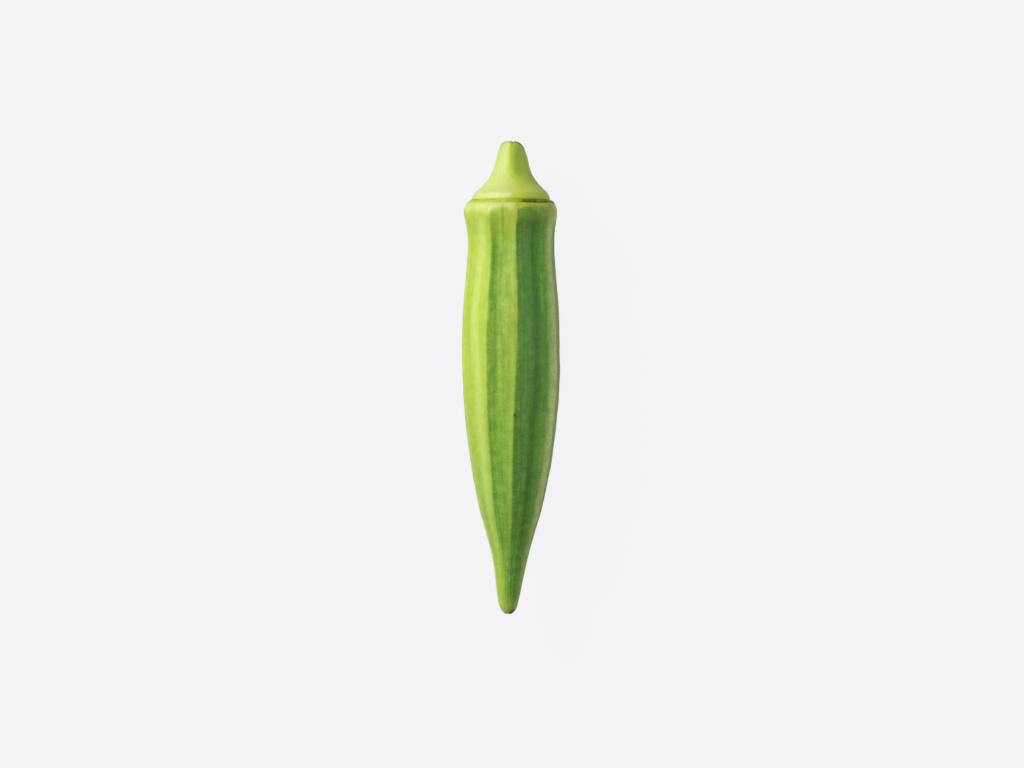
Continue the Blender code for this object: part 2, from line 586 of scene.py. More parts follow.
def new_material(name: str) -> tuple[bpy.types.Material, Bench, bpy.types.Node]:
    """Starts a material.

    Args:
        name: The material's name.

    Returns:
        The material, a bench on its tree, and its Principled shader.
    """
    material = bpy.data.materials.new(name)
    material.use_nodes = True
    bench = Bench(material.node_tree)
    return material, bench, material.node_tree.nodes["Principled BSDF"]


@dataclass(frozen=True)
class Surface:
    """How a skin shines, feels and lets light in.

    Attributes:
        roughness: Roughness of the grain's lowest and highest parts.
        relief: Strength of the bumps.
        relief_depth: Depth of the bumps, in metres.
        specular: Specular level.
        sheen: Weight of the sheen.
        sheen_roughness: Its roughness.
        scatter: Weight of the light that enters the skin.
        scatter_colours: How far red, green and blue travel in it, against each other.
        scatter_depth: How far light travels in it, in metres.
    """

    roughness: Point
    relief: float
    relief_depth: float
    specular: float
    sheen: float = 0.0
    sheen_roughness: float = 0.5
    scatter: float = 0.0
    scatter_colours: Colour = (1.0, 1.0, 1.0)
    scatter_depth: float = 0.1 * MM

    def apply(self, bench: Bench, skin: bpy.types.Node, rough: Socket, height: Socket) -> None:
        """Sets everything but the colour.

        Args:
            bench: The bench of the material's tree.
            skin: The Principled shader.
            rough: The finished roughness.
            height: The height of the bumps.
        """
        bench.feed(skin.inputs["Roughness"], rough)
        bump = bench.node("Bump")
        bench.feed(bump.inputs["Strength"], self.relief)
        bench.feed(bump.inputs["Distance"], self.relief_depth)
        bench.feed(bump.inputs["Height"], height)
        bench.feed(skin.inputs["Normal"], bump.outputs[0])
        bench.feed(skin.inputs["Specular IOR Level"], self.specular)
        bench.feed(skin.inputs["Sheen Weight"], self.sheen)
        bench.feed(skin.inputs["Sheen Roughness"], self.sheen_roughness)
        bench.feed(skin.inputs["Subsurface Weight"], self.scatter)
        bench.feed(skin.inputs["Subsurface Radius"], self.scatter_colours)
        bench.feed(skin.inputs["Subsurface Scale"], self.scatter_depth)


@dataclass(frozen=True)
class PodFinish:
    """Fresh pod skin: green hollows with partly painted shade, paler ribs with painted highlights, a pale
    shoulder, painted shade along the right edge and a brown tip scar.

    Attributes:
        speck_place: Where the one dark speck is.
        deep: The deepest green, beside the shoulder.
        fresh: The yellowest green, beside the shoulder.
        deep_young: The deepest green, beside the tip.
        fresh_young: The yellowest green, beside the tip.
        rib: The paler ridges, partly their own colour and partly painted highlight, and the flecks.
        shoulder: The shoulder in the light.
        shoulder_deep: The shoulder on its shaded side.
        groove: The floors of the hollows, partly their own deeper green and partly painted shade.
        speck: The dark speck.
        scar: The skin round the scab on the tip.
        calyx: The bruised edge where the calyx sat.
        calyx_dried_and_shaded: The same edge on the right, away from the light: partly dried, partly painted
            shade.
        flank_light_and_shade: Painted shade along the right edge, where the skin is seen edge on.
        speck_radius: The speck's radius, in metres.
        speck_core: Share of that radius that is fully dark.
        speck_strength: How much of the speck's colour shows.
        grain_mm: Size of the velvet's grain.
        cloud_mm: Size of its clouds.
        fibre_mm: Width of the lengthwise fibres.
        fibre_stretch: How much the fibres are squeezed along Y, so that they look long.
        fleck_mm: Spacing of the pale flecks.
        fleck_size: Their size, as a share of the spacing.
        fleck_share: Share of the places that hold one.
        fleck_strength: How much of their colour shows.
        cloud_in_tone: How far the clouds swing the tone.
        fibre_in_tone: How far the fibres swing it, on deep and on yellow skin.
        uneven_lightness: How far grain, clouds and fibres swing the lightness, on both.
        cloud_in_lightness: The clouds' and the fibres' part in that, against the grain's.
        groove_strength: How much of the groove's colour shows on the panels.
        shoulder_groove_strength: How much of it shows on the pale shoulder.
        calyx_wear: How much of the calyx's edge is left, where it is most and least worn.
        fibre_in_relief: The fibres' part in the bumps, against the grain's.
        surface: Everything but the colour.
    """

    speck_place: Place
    deep: Colour = (0.114, 0.338, 0.028)
    fresh: Colour = (0.415, 0.540, 0.060)
    deep_young: Colour = (0.150, 0.378, 0.052)
    fresh_young: Colour = (0.365, 0.545, 0.054)
    # Also the colour of the painted highlights and reflections on ridges, edges and tip.
    rib: Colour = (0.575, 0.700, 0.205)
    shoulder: Colour = (0.570, 0.630, 0.225)
    shoulder_deep: Colour = (0.488, 0.566, 0.054)
    # Partly the hollows' own deeper green, partly painted shade.
    groove: Colour = (0.055, 0.185, 0.022)
    speck: Colour = (0.020, 0.070, 0.015)
    scar: Colour = (0.200, 0.205, 0.060)
    calyx: Colour = (0.400, 0.460, 0.030)
    # Partly dried tissue, partly painted shade, on the calyx's edge at the right.
    calyx_dried_and_shaded: Colour = (0.075, 0.100, 0.010)
    # Painted shade along the right edge.
    flank_light_and_shade: Colour = (0.190, 0.220, 0.022)
    speck_radius: float = 0.42 * MM
    speck_core: float = 0.35
    speck_strength: float = 0.8
    grain_mm: float = 0.34
    cloud_mm: float = 1.5
    fibre_mm: float = 0.75
    fibre_stretch: float = 0.045
    fleck_mm: float = 1.3
    fleck_size: float = 0.13
    fleck_share: float = 0.22
    fleck_strength: float = 0.22
    cloud_in_tone: float = 0.16
    fibre_in_tone: Point = (0.26, 0.13)
    uneven_lightness: Point = (0.37, 0.085)
    cloud_in_lightness: float = 0.5
    groove_strength: float = 0.85
    shoulder_groove_strength: float = 0.55
    calyx_wear: Point = (0.75, 1.0)
    fibre_in_relief: float = 0.8
    surface: Surface = Surface(
        roughness=(0.38, 0.52),
        relief=0.12,
        relief_depth=0.12 * MM,
        specular=0.25,
        sheen=0.03,
        sheen_roughness=0.45,
        scatter=0.08,
        scatter_colours=(0.8, 1.0, 0.3),
        scatter_depth=0.6 * MM,
    )

    def build(self) -> bpy.types.Material:
        """Makes the material."""
        material, bench, skin = new_material("pod_skin")
        place = bench.object_place()
        mottle = bench.group("velvet_mottle", Place=place, Grain_mm=self.grain_mm, Cloud_mm=self.cloud_mm)
        grain, cloud = mottle.outputs["Grain"], mottle.outputs["Cloud"]
        wrap = bench.painted("wrap", vector=True)
        fibres = bench.group(
            "lengthwise_fibres", Place=wrap, Width_mm=self.fibre_mm, Stretch=self.fibre_stretch
        )
        fibre = fibres.outputs["Fibre"]
        colour = self.ribs_and_shoulder(bench, self.panels(bench, cloud, fibre))
        colour = self.velvet(bench, colour, grain, cloud, fibre)
        colour = self.marks(bench, colour, place, cloud)
        bench.feed(skin.inputs["Base Color"], colour)
        rough = bench.span(grain, 0.0, 1.0, self.surface.roughness)
        height = bench.plus(grain, bench.times(fibre, self.fibre_in_relief))
        self.surface.apply(bench, skin, rough, height)
        return material

    def panels(self, bench: Bench, cloud: Socket, fibre: Socket) -> Socket:
        """Colours the panels between the ridges.

        Args:
            bench: The bench of the material's tree.
            cloud: The velvet's clouds.
            fibre: The lengthwise fibres.

        Returns:
            The panels' colour.
        """
        painted = bench.painted("tone")
        fibre_swing = bench.span(painted, 0.3, 0.9, self.fibre_in_tone)
        tone = bench.plus(painted, bench.swing(cloud, self.cloud_in_tone))
        tone = bench.plus(tone, bench.swing(fibre, fibre_swing))
        young = bench.painted("young")
        deep = bench.mix(young, self.deep, self.deep_young)
        fresh = bench.mix(young, self.fresh, self.fresh_young)
        return bench.mix(tone, deep, fresh)

    def ribs_and_shoulder(self, bench: Bench, colour: Socket) -> Socket:
        """Adds the grooves with their partly painted shade, the pale ridges with their painted highlights,
        the pale shoulder and the painted shade along the right edge.

        Args:
            bench: The bench of the material's tree.
            colour: The panels' colour.

        Returns:
            The colour with the marks.
        """
        groove, shown = bench.painted("groove"), bench.painted("shoulder")
        # Darker floors of the hollows: partly their own deeper green, partly painted shade.
        colour = bench.mix(bench.times(groove, self.groove_strength), colour, self.groove)
        # Paler ridges, partly their own colour and partly painted highlight.
        colour = bench.mix(bench.painted("crest"), colour, self.rib)
        shoulder = bench.mix(bench.painted("shoulder_tone"), self.shoulder_deep, self.shoulder)
        colour = bench.mix(shown, colour, shoulder)
        on_shoulder = bench.times(groove, bench.times(shown, self.shoulder_groove_strength))
        colour = bench.mix(on_shoulder, colour, self.groove)
        # Painted shade along the right edge, where the skin is seen edge on.
        return bench.mix(bench.painted("flank_light_and_shade"), colour, self.flank_light_and_shade)

    def velvet(self, bench: Bench, colour: Socket, grain: Socket, cloud: Socket, fibre: Socket) -> Socket:
        """Makes the colour a little lighter and darker from place to place.

        Args:
            bench: The bench of the material's tree.
            colour: The even colour.
            grain: The velvet's grain.
            cloud: Its clouds.
            fibre: The lengthwise fibres.

        Returns:
            The uneven colour.
        """
        broad = bench.plus(
            bench.swing(cloud, self.cloud_in_lightness), bench.swing(fibre, self.cloud_in_lightness)
        )
        uneven = bench.plus(bench.math("SUBTRACT", grain, 0.5), broad)
        strength = bench.span(bench.painted("tone"), 0.05, 0.9, self.uneven_lightness)
        return bench.lightened(colour, bench.math("MULTIPLY_ADD", uneven, strength, 1.0))

    def marks(self, bench: Bench, colour: Socket, place: Socket, cloud: Socket) -> Socket:
        """Adds the flecks, the speck, the scar of the style and the calyx's edge.

        Args:
            bench: The bench of the material's tree.
            colour: The skin's colour.
            place: Where each point is.
            cloud: The velvet's clouds, which wear the calyx's edge away.

        Returns:
            The finished colour.
        """
        flecks = bench.group(
            "scattered_flecks",
            Place=place,
            Spacing_mm=self.fleck_mm,
            Size=self.fleck_size,
            Share=self.fleck_share,
        )
        colour = bench.mix(bench.times(flecks.outputs["Fleck"], self.fleck_strength), colour, self.rib)
        distance = bench.node("VectorMath", operation="DISTANCE")
        bench.feed(distance.inputs[0], place)
        bench.feed(distance.inputs[1], self.speck_place)
        speck = bench.span(distance.outputs["Value"], self.speck_radius, self.speck_radius * self.speck_core)
        colour = bench.mix(bench.times(speck, self.speck_strength), colour, self.speck)
        colour = bench.mix(bench.painted("scar"), colour, self.scar)
        # The calyx's edge is darker on the right: partly dried tissue, partly painted shade.
        calyx = bench.mix(bench.painted("calyx_tone"), self.calyx_dried_and_shaded, self.calyx)
        left = bench.span(cloud, 0.0, 0.6, self.calyx_wear)
        return bench.mix(bench.times(bench.painted("calyx"), left), colour, calyx)


@dataclass(frozen=True)
class CapFinish:
    """The cap's pale skin, greener on one side of the stalk, with a bright lip and a cut end.

    Attributes:
        pale: The lit side.
        bright: The side turned from the light.
        green: Painted shade: the greener skin on the stalk's right side, away from the light, and along its
            left edge.
        lip: A painted highlight on the lip above the scar, on its lit left side and along its right edge.
        fresh: The fresh yellow-green just above the scar.
        brown: The browned rim of the cut.
        flank_light_and_shade: Painted light on the right flank, where the skin is seen edge on.
        cortex: The flesh of the cut.
        vessels: The ring of vessels in it.
        core: Its pith.
        grain_mm: Size of the velvet's grain.
        cloud_mm: Size of its clouds.
        fibre_mm: Width of the lengthwise fibres.
        fibre_stretch: How much the fibres are squeezed along Y, so that they look long.
        fibre_in_colour: How far the fibres swing the sides' colours.
        uneven_lightness: The grain's lowest and highest lightness.
        browning: How brown the rim is, where the clouds leave it least and most so.
        cut_roughness: How much rougher the cut is.
        vessel_strength: How much of the vessels' colour shows between their dots.
        pore_strength: How much of the flesh's colour shows in the pith's pores.
        surface: Everything but the colour.
    """

    pale: Colour = (0.520, 0.590, 0.190)
    bright: Colour = (0.510, 0.605, 0.088)
    # Painted shade on the stalk's side away from the light.
    green: Colour = (0.305, 0.470, 0.036)
    # Painted highlight on the lip.
    lip: Colour = (0.640, 0.690, 0.320)
    fresh: Colour = (0.480, 0.600, 0.022)
    brown: Colour = (0.150, 0.150, 0.035)
    # Painted light on the right flank.
    flank_light_and_shade: Colour = (0.560, 0.740, 0.115)
    cortex: Colour = (0.420, 0.530, 0.140)
    vessels: Colour = (0.250, 0.290, 0.070)
    core: Colour = (0.600, 0.650, 0.330)
    grain_mm: float = 0.3
    cloud_mm: float = 1.8
    fibre_mm: float = 0.55
    fibre_stretch: float = 0.10
    fibre_in_colour: float = 0.22
    uneven_lightness: Point = (0.945, 1.055)
    browning: Point = (0.6, 1.0)
    cut_roughness: float = 0.3
    vessel_strength: float = 0.4
    pore_strength: float = 0.35
    surface: Surface = Surface(
        roughness=(0.44, 0.58),
        relief=0.04,
        relief_depth=0.12 * MM,
        specular=0.26,
        sheen=0.06,
        sheen_roughness=0.4,
        scatter=0.12,
        scatter_colours=(0.9, 1.0, 0.35),
        scatter_depth=0.8 * MM,
    )

    def build(self) -> bpy.types.Material:
        """Makes the material."""
        material, bench, skin = new_material("cap_skin")
        place = bench.object_place()
        mottle = bench.group("velvet_mottle", Place=place, Grain_mm=self.grain_mm, Cloud_mm=self.cloud_mm)
        grain, cloud = mottle.outputs["Grain"], mottle.outputs["Cloud"]
        fibres = bench.group(
            "lengthwise_fibres", Place=place, Width_mm=self.fibre_mm, Stretch=self.fibre_stretch
        )
        fibre = fibres.outputs["Fibre"]
        streak = bench.swing(fibre, self.fibre_in_colour)
        # Painted light and shade: paler on the lit side, the other colour on the side turned from the light.
        colour = bench.mix(bench.plus(bench.painted("side"), streak), self.pale, self.bright)
        # Painted shade: greener on the stalk's right side and left edge.
        colour = bench.mix(bench.plus(bench.painted("green"), streak), colour, self.green)
        # Painted highlight on the lip.
        colour = bench.mix(bench.painted("lip"), colour, self.lip)
        colour = bench.mix(bench.painted("fresh"), colour, self.fresh)
        # Painted light on the right flank.
        colour = bench.mix(bench.painted("flank_light_and_shade"), self.cut_end(bench, place, colour), self.flank_light_and_shade)
        colour = bench.lightened(colour, bench.span(grain, 0.0, 1.0, self.uneven_lightness))
        edge = bench.times(bench.painted("browned"), bench.span(cloud, 0.1, 0.7, self.browning))
        bench.feed(skin.inputs["Base Color"], bench.mix(edge, colour, self.brown))
        rough = bench.span(grain, 0.0, 1.0, self.surface.roughness)
        rough = bench.math("MULTIPLY_ADD", bench.painted("cut"), self.cut_roughness, rough)
        self.surface.apply(bench, skin, rough, bench.plus(grain, fibre))
        return material

    def cut_end(self, bench: Bench, place: Socket, skin: Socket) -> Socket:
        """Colours the cut: pale green flesh, a broken ring of vessels and a whitish core.

        Args:
            bench: The bench of the material's tree.
            place: Where each point is.
            skin: The colour outside the cut.

        Returns:
            The colour of the whole cap.
        """
        dots = bench.group("scattered_flecks", Place=place, Spacing_mm=0.34, Size=0.5, Share=0.6)
        pores = bench.group("scattered_flecks", Place=place, Spacing_mm=0.22, Size=0.4, Share=0.5)
        colour = bench.mix(bench.painted("cut"), skin, self.cortex)
        even = self.vessel_strength
        broken = bench.math("MULTIPLY_ADD", dots.outputs["Fleck"], 1.0 - even, even)
        colour = bench.mix(bench.times(bench.painted("vessels"), broken), colour, self.vessels)
        core = bench.painted("core")
        colour = bench.mix(core, colour, self.core)
        shown = bench.times(core, bench.times(pores.outputs["Fleck"], self.pore_strength))
        return bench.mix(shown, colour, self.cortex)


@dataclass(frozen=True)
class ScarFinish:
    """Dried plant tissue: dark brown, with stretches that are still olive.

    Attributes:
        name: The material's name.
        dark: The driest tissue.
        olive: The freshest tissue.
        grain_mm: Size of its grain.
        cloud_mm: Size of its clouds.
        cloud_in_tone: How far the clouds swing it between the two colours.
        surface: Everything but the colour.
    """

    name: str
    dark: Colour = (0.037, 0.054, 0.003)
    olive: Colour = (0.465, 0.540, 0.046)
    grain_mm: float = 0.2
    cloud_mm: float = 1.4
    cloud_in_tone: float = 0.35
    surface: Surface = Surface(roughness=(0.6, 0.85), relief=0.5, relief_depth=0.1 * MM, specular=0.12)

    def build(self) -> bpy.types.Material:
        """Makes the material."""
        material, bench, skin = new_material(self.name)
        place = bench.object_place()
        mottle = bench.group("velvet_mottle", Place=place, Grain_mm=self.grain_mm, Cloud_mm=self.cloud_mm)
        grain, cloud = mottle.outputs["Grain"], mottle.outputs["Cloud"]
        olive = bench.math("ADD", bench.painted("olive"), bench.swing(cloud, self.cloud_in_tone), clamp=True)
        bench.feed(skin.inputs["Base Color"], bench.mix(olive, self.dark, self.olive))
        rough = bench.span(grain, 0.0, 1.0, self.surface.roughness)
        self.surface.apply(bench, skin, rough, grain)
        return material


@dataclass(frozen=True)
class DownFinish:
    """Short translucent hairs, near the colour of the skin that they stand on.

    Attributes:
        name: The material's name.
        dark: Colours at the root and the tip on the darkest skin.
        pale: Colours at the root and the tip on the palest skin.
        roughness: Roughness at the root and the tip.
        scatter_colours: How far red, green and blue travel in a hair, against each other.
        scatter_depth: How far light travels in a hair, in metres.
    """

    name: str
    dark: tuple[Colour, Colour]
    pale: tuple[Colour, Colour]
    roughness: Point = (0.5, 0.35)
    scatter_colours: Colour = (1.0, 1.0, 0.8)
    scatter_depth: float = 0.05 * MM

    def build(self) -> bpy.types.Material:
        """Makes the material."""
        material, bench, skin = new_material(self.name)
        out, tone = bench.painted("out"), bench.painted("skin_tone")
        root = bench.mix(tone, self.dark[0], self.pale[0])
        tip = bench.mix(tone, self.dark[1], self.pale[1])
        bench.feed(skin.inputs["Base Color"], bench.mix(out, root, tip))
        bench.feed(skin.inputs["Roughness"], bench.span(out, 0.0, 1.0, self.roughness))
        bench.feed(skin.inputs["Subsurface Weight"], 1.0)
        bench.feed(skin.inputs["Subsurface Radius"], self.scatter_colours)
        bench.feed(skin.inputs["Subsurface Scale"], self.scatter_depth)
        return material


# --------------------------------------------------------------------------- the pieces


@dataclass
class Pod:
    """The ridged pod, from the calyx scar to the blunt tip.

    Attributes:
        outline: Its outline from scar to tip.
        ribs: Its eight ridges.
        relief: Crest to hollow, as a share of the radius.
        crest_share: How much of the relief stands outside the outline.
        lean_span: Where the ridges' lean starts and where it is complete.
        wander: How far the ridges wander, in radians.
        groove_places: The darkest line of each panel, as a share of the way to the next crest.
        groove_widths: How wide that line is, as such a share.
        groove_strengths: How much darker the floor of each hollow is, from 0 to 1: partly its own deeper
            green, partly painted shade.
        tones: How yellow the panel after each ridge is, at its start, middle and end, from 0 to 1.
        early_tones: How much yellower each panel is beside the shoulder.
        early_ends: Share of the length where that has faded.
        later_tones: How much yellower each panel is beside the tip.
        shoulder_crests: How far down each ridge the pale shoulder reaches, as a share of the length.
        shoulder_panels: How far down the middle of each panel it reaches.
        shoulder_strengths: How pale the shoulder is above each panel, from 0 to 1.
        ridge_bands_and_highlights: The pale band on each ridge, as (degrees off the crest, half its width,
            strength); the right ridge's wide band and the band left of the upper left ridge are painted
            highlights.
        faded_band: The ridge whose band fades away from the middle, and by how much.
        lobe_places: The groove between two lobes of the shoulder, as a share of the way to the next crest.
        lobe_reaches: How far down each groove reaches, as a share of the length.
        lobe_strengths: How deep and dark each groove is, from 0 to 1.
        lobe_depth: How deep the deepest is, in metres.
        tip_bend: How far the tip bends to the left, as a share of the radius.
        tip_hook: How far its very end bends back, in metres.
        right_swells: Where the right side is fuller, as (place, reach, height in millimetres).
        side_allowance: How much wider than its CAD node it is, in metres.
        scar_offset: From the tip to the middle of the style's scar.
        scar_size: The scar's half sizes.
        scar_turn: Its turn about Z.
        scar_reach: How far from the tip it may show.
        speck: The dark speck's angle in degrees, and its share of the length.
        rings: How many rings of faces there are.
        steps_per_rib: How many faces there are from rib to rib.
    """

    outline: Outline = Outline(
        (
            (0.000, 0.822),
            (0.006, 0.896),
            (0.027, 0.965),
            (0.088, 0.878),
            (0.206, 0.933),
            (0.355, 1.000),
            (0.503, 0.952),
            (0.618, 0.837),
            (0.732, 0.665),
            (0.824, 0.444),
            (0.904, 0.294),
            (0.974, 0.1985),
            (0.989, 0.151),
            (0.996, 0.104),
            (0.9992, 0.060),
            (1.000, 0.000),
        )
    )
    ribs: Ribs = Ribs(
        angles=(7.8, 60.5, 106.0, 157.0, 203.0, 245.0, 289.0, 332.5),
        leans=(-6.3, -2.0, 2.0, 0.0, 2.0, 3.0, 2.0, -2.0),
        hollow_places=(0.465, 0.48, 0.52, 0.50, 0.47, 0.50, 0.46, 0.30),
        hollow_depths=(0.95, 0.8, 1.0, 1.0, 1.0, 0.9, 0.45, 0.60),
        hollow_fades=(0.40, 0.45, 0.50, 0.50, 0.50, 0.45, 0.60, 0.90),
        roundings=(0.08, 0.30, 0.2, 0.14, 0.2, 0.16, 0.25, 0.25),
        crowding=0.5,
    )
    relief: float = 0.118
    crest_share: float = 0.4
    lean_span: Point = (0.30, 0.75)
    wander: float = math.radians(0.7)
    groove_places: tuple[float, ...] = (0.500, 0.48, 0.52, 0.50, 0.47, 0.50, 0.46, 0.30)
    groove_widths: tuple[float, ...] = (0.105, 0.075, 0.075, 0.075, 0.075, 0.075, 0.075, 0.075)
    groove_strengths: tuple[float, ...] = (0.95, 0.2, 0.45, 0.45, 0.45, 0.3, 0.0, 0.3)
    tones: tuple[Place, ...] = (
        (0.00, -0.02, 0.03),
        (0.30, 0.40, 0.50),
        (0.45, 0.30, 0.40),
        (0.45, 0.35, 0.45),
        (0.50, 0.40, 0.60),
        (0.75, 0.70, 0.78),
        (0.80, 1.00, 0.95),
        (0.30, 0.48, 0.80),
    )
    early_tones: tuple[float, ...] = (0.42, 0.1, 0.1, 0.1, 0.1, 0.0, 0.0, 0.42)
    shoulder_crests: tuple[float, ...] = (0.052, 0.052, 0.052, 0.052, 0.052, 0.052, 0.040, 0.045)
    shoulder_panels: tuple[float, ...] = (0.022, 0.022, 0.022, 0.022, 0.022, 0.022, 0.033, 0.022)
    shoulder_strengths: tuple[float, ...] = (0.85, 0.85, 0.85, 0.85, 0.85, 0.85, 0.74, 0.85)
    early_ends: tuple[float, ...] = (0.080, 0.12, 0.12, 0.12, 0.12, 0.12, 0.12, 0.12)
    later_tones: tuple[float, ...] = (0.04, -0.30, -0.30, -0.30, -0.30, -0.35, -0.36, -0.18)
    ridge_bands_and_highlights: tuple[Place, ...] = (
        (-3.5, 3.0, 0.12),
        (-0.8, 8.0, 1.0),
        (0.0, 3.0, 0.5),
        (0.0, 3.0, 0.5),
        (0.0, 3.0, 0.5),
        (0.0, 4.0, 0.43),
        (0.0, 5.0, 0.34),
        (-12.0, 7.0, 0.45),
    )
    faded_band: tuple[int, float] = (1, 0.28)
    lobe_places: tuple[float, ...] = (0.47, 0.62, 0.40, 0.55, 0.45, 0.60, 0.42, 0.53)
    lobe_reaches: tuple[float, ...] = (0.05, 0.07, 0.10, 0.08, 0.11, 0.07, 0.09, 0.15)
    lobe_strengths: tuple[float, ...] = (0.15, 1.0, 1.0, 1.0, 1.0, 0.8, 0.2, 0.75)
    lobe_depth: float = 0.12 * MM
    tip_bend: float = 0.047
    tip_hook: float = 0.09 * MM
    right_swells: tuple[Place, ...] = (
        (0.108, 0.062, 0.26),
        (0.230, 0.080, 0.16),
        (0.455, 0.090, 0.30),
        (0.620, 0.085, 0.24),
        (0.880, 0.050, 0.12),
    )
    side_allowance: float = 0.10 * MM
    scar_offset: Place = (0.74 * MM, 0.50 * MM, 0.5 * MM)
    scar_size: Place = (1.15 * MM, 0.50 * MM, 1.2 * MM)
    scar_turn: float = math.radians(49.0)
    scar_reach: float = 4.0 * MM
    speck: Point = (5.4, 0.52)
    rings: int = 356
    steps_per_rib: int = 32

    def depth_along(self, along: np.ndarray) -> np.ndarray:
        """Depth of the hollows at shares of the length, as a share of the radius."""
        grown = 0.14 + 0.86 * smoothstep(0.0, 0.095, along)
        belly = smoothstep(0.12, 0.32, along) * (1.0 - smoothstep(0.45, 0.70, along))
        tip = 1.0 - 0.45 * smoothstep(0.80, 1.0, along)
        return self.relief * grown * (1.0 - 0.16 * belly) * tip

    def build(self) -> bpy.types.Object:
        """Makes the pod in the place of its CAD node.

        Returns:
            The dressed piece.
        """
        low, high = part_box("pod")
        length, radius = high.y - low.y, (high.x - low.x) / 2.0
        walk = [(-along * length, share * radius) for along, share in self.outline.places(self.rings)]
        steps = self.steps_per_rib * len(self.ribs.angles)
        mesh = mesh_from(turned([(0.0, 0.0), *walk[:-1], (-length, 0.0)], steps), "ridged_pod")
        points = points_of(mesh)
        out = np.hypot(points[:, 0], points[:, 2])
        along = np.clip(-points[:, 1] / length, 0.0, 1.0)
        turn = (np.arctan2(points[:, 0], points[:, 2]) / math.tau) % 1.0
        angle, rib, share = self.ribs.place(turn, smoothstep(*self.lean_span, along))
        angle = angle + self.wander * Waves(3, 5, (1, 3), (1.5, 4.0)).height(angle, along)
        depth = self.ribs.depth(rib, share, smoothstep(0.52, 0.88, along))
        swell = 1.0 + self.depth_along(along) * (self.crest_share - depth)
        groove = self.shoulder_grooves(rib, share, along)
        fine = self.unevenness(angle, along, depth) - self.lobe_depth * groove
        body = smoothstep(0.0, 0.012, along) * smoothstep(1.0, 0.97, along)
        out = out * swell + fine * body
        bend = self.tip_hook * smoothstep(0.970, 0.992, along)
        bend = bend - self.tip_bend * radius * smoothstep(0.68, 1.0, along) ** 3
        fuller = sum(height * bell(place, reach, along) for place, reach, height in self.right_swells)
        bend = bend + fuller * MM * smoothstep(0.3, 0.9, np.sin(angle))
        placed = np.column_stack([out * np.sin(angle) + bend, points[:, 1], out * np.cos(angle)])
        placed = self.fit(placed, low, high)
        placed, scar = self.scarred_tip(placed, low)
        placed[:, 2] = np.maximum(placed[:, 2], 0.0)
        move_points(mesh, placed)
        wrap = np.column_stack([radius * np.sin(angle), points[:, 1], radius * np.cos(angle)])
        paint(mesh, "wrap", wrap)
        paint(mesh, "scar", scar)
        # The ridges' paler colour, with painted highlights and reflections on the ridges, the left edge and
        # the tip.
        paint(mesh, "crest", self.ridges_and_highlights(angle, along) * smoothstep(0.02, 0.07, along))
        paint(mesh, "groove", self.dark_lines(share, rib, along, groove))
        paint(mesh, "tone", self.tone(share, rib, angle, along))
        self.paint_sides(mesh, share, rib, angle, along)
        speck = self.speck_place(placed, along, angle)
        return piece("ridged_pod", mesh, PodFinish(speck_place=speck).build())

    def dark_lines(
        self, share: np.ndarray, rib: np.ndarray, along: np.ndarray, groove: np.ndarray
    ) -> np.ndarray:
        """How dark the floors of the hollows and the grooves of the shoulder are.

        Args:
            share: The share of the way to the next rib.
            rib: The rib before each point.
            along: Shares of the length.
            groove: How much of the shoulder's grooves each point has.

        Returns:
            From 0 to 1 for each point.
        """
        # Darker floors of the hollows and of the shoulder's grooves: partly their own deeper green, partly
        # painted shade.
        line = bell(np.array(self.groove_places)[rib], np.array(self.groove_widths)[rib], share)
        line = line * np.array(self.groove_strengths)[rib] * (1.0 - 0.6 * smoothstep(0.7, 0.9, along))
        return np.clip(0.8 * groove + line * smoothstep(0.02, 0.09, along), 0.0, 1.0)

    def paint_sides(
        self, mesh: bpy.types.Mesh, share: np.ndarray, rib: np.ndarray, angle: np.ndarray, along: np.ndarray
    ) -> None:
        """Paints the shoulder with its painted light and shade, the calyx's edge, and the painted shade along
        the right edge.

        Args:
            mesh: The pod's mesh.
            share: The share of the way to the next rib.
            rib: The rib before each point.
            angle: Angles round the axis, in radians.
            along: Shares of the length.
        """
        across = np.sin(angle)
        paint(mesh, "young", smoothstep(0.30, 0.78, along))
        paint(mesh, "shoulder", self.pale_shoulder(share, rib, across, along))
        shaded = smoothstep(-0.04, 0.20, across) * smoothstep(-0.5, 0.1, np.cos(angle))
        lit_rim = 0.85 * smoothstep(0.84, 0.95, across)
        paint(mesh, "shoulder_tone", 1.0 - shaded * (1.0 - lit_rim))
        outer = smoothstep(0.55, 0.85, across)
        reach = 0.0105 - 0.0025 * outer
        paint(mesh, "calyx", (1.0 - 0.25 * outer) * smoothstep(1.0, 0.36, along / reach))
        # Yellower on the lit left, darker on the right: partly dried tissue, partly painted shade.
        paint(mesh, "calyx_tone", smoothstep(0.44, 0.0, across) + 0.3 * outer)
        # Painted shade along the right edge, where the skin is seen edge on.
        paint(mesh, "flank_light_and_shade", 0.4 * smoothstep(0.925, 0.985, across) * smoothstep(0.06, 0.2, along))

    def unevenness(self, angle: np.ndarray, along: np.ndarray, depth: np.ndarray) -> np.ndarray:
        """Raises small swellings: over the seeds, all over the skin, and on the crests.

        Args:
            angle: Angles round the axis, in radians.
            along: Shares of the length.
            depth: How far down in a hollow each point is, from 0 to 1.

        Returns:
            Their heights in metres.
        """
        seeds = Waves(11, 9, (5, 11), (9.0, 16.0)).height(angle, along) * smoothstep(0.2, 0.8, depth)
        skin = Waves(12, 12, (14, 34), (3.0, 14.0)).height(angle, along)
        ridge = Waves(13, 7, (2, 5), (8.0, 22.0)).height(angle, along) * smoothstep(0.3, 0.0, depth)
        return (0.045 * seeds + 0.022 * skin + 0.05 * ridge) * MM

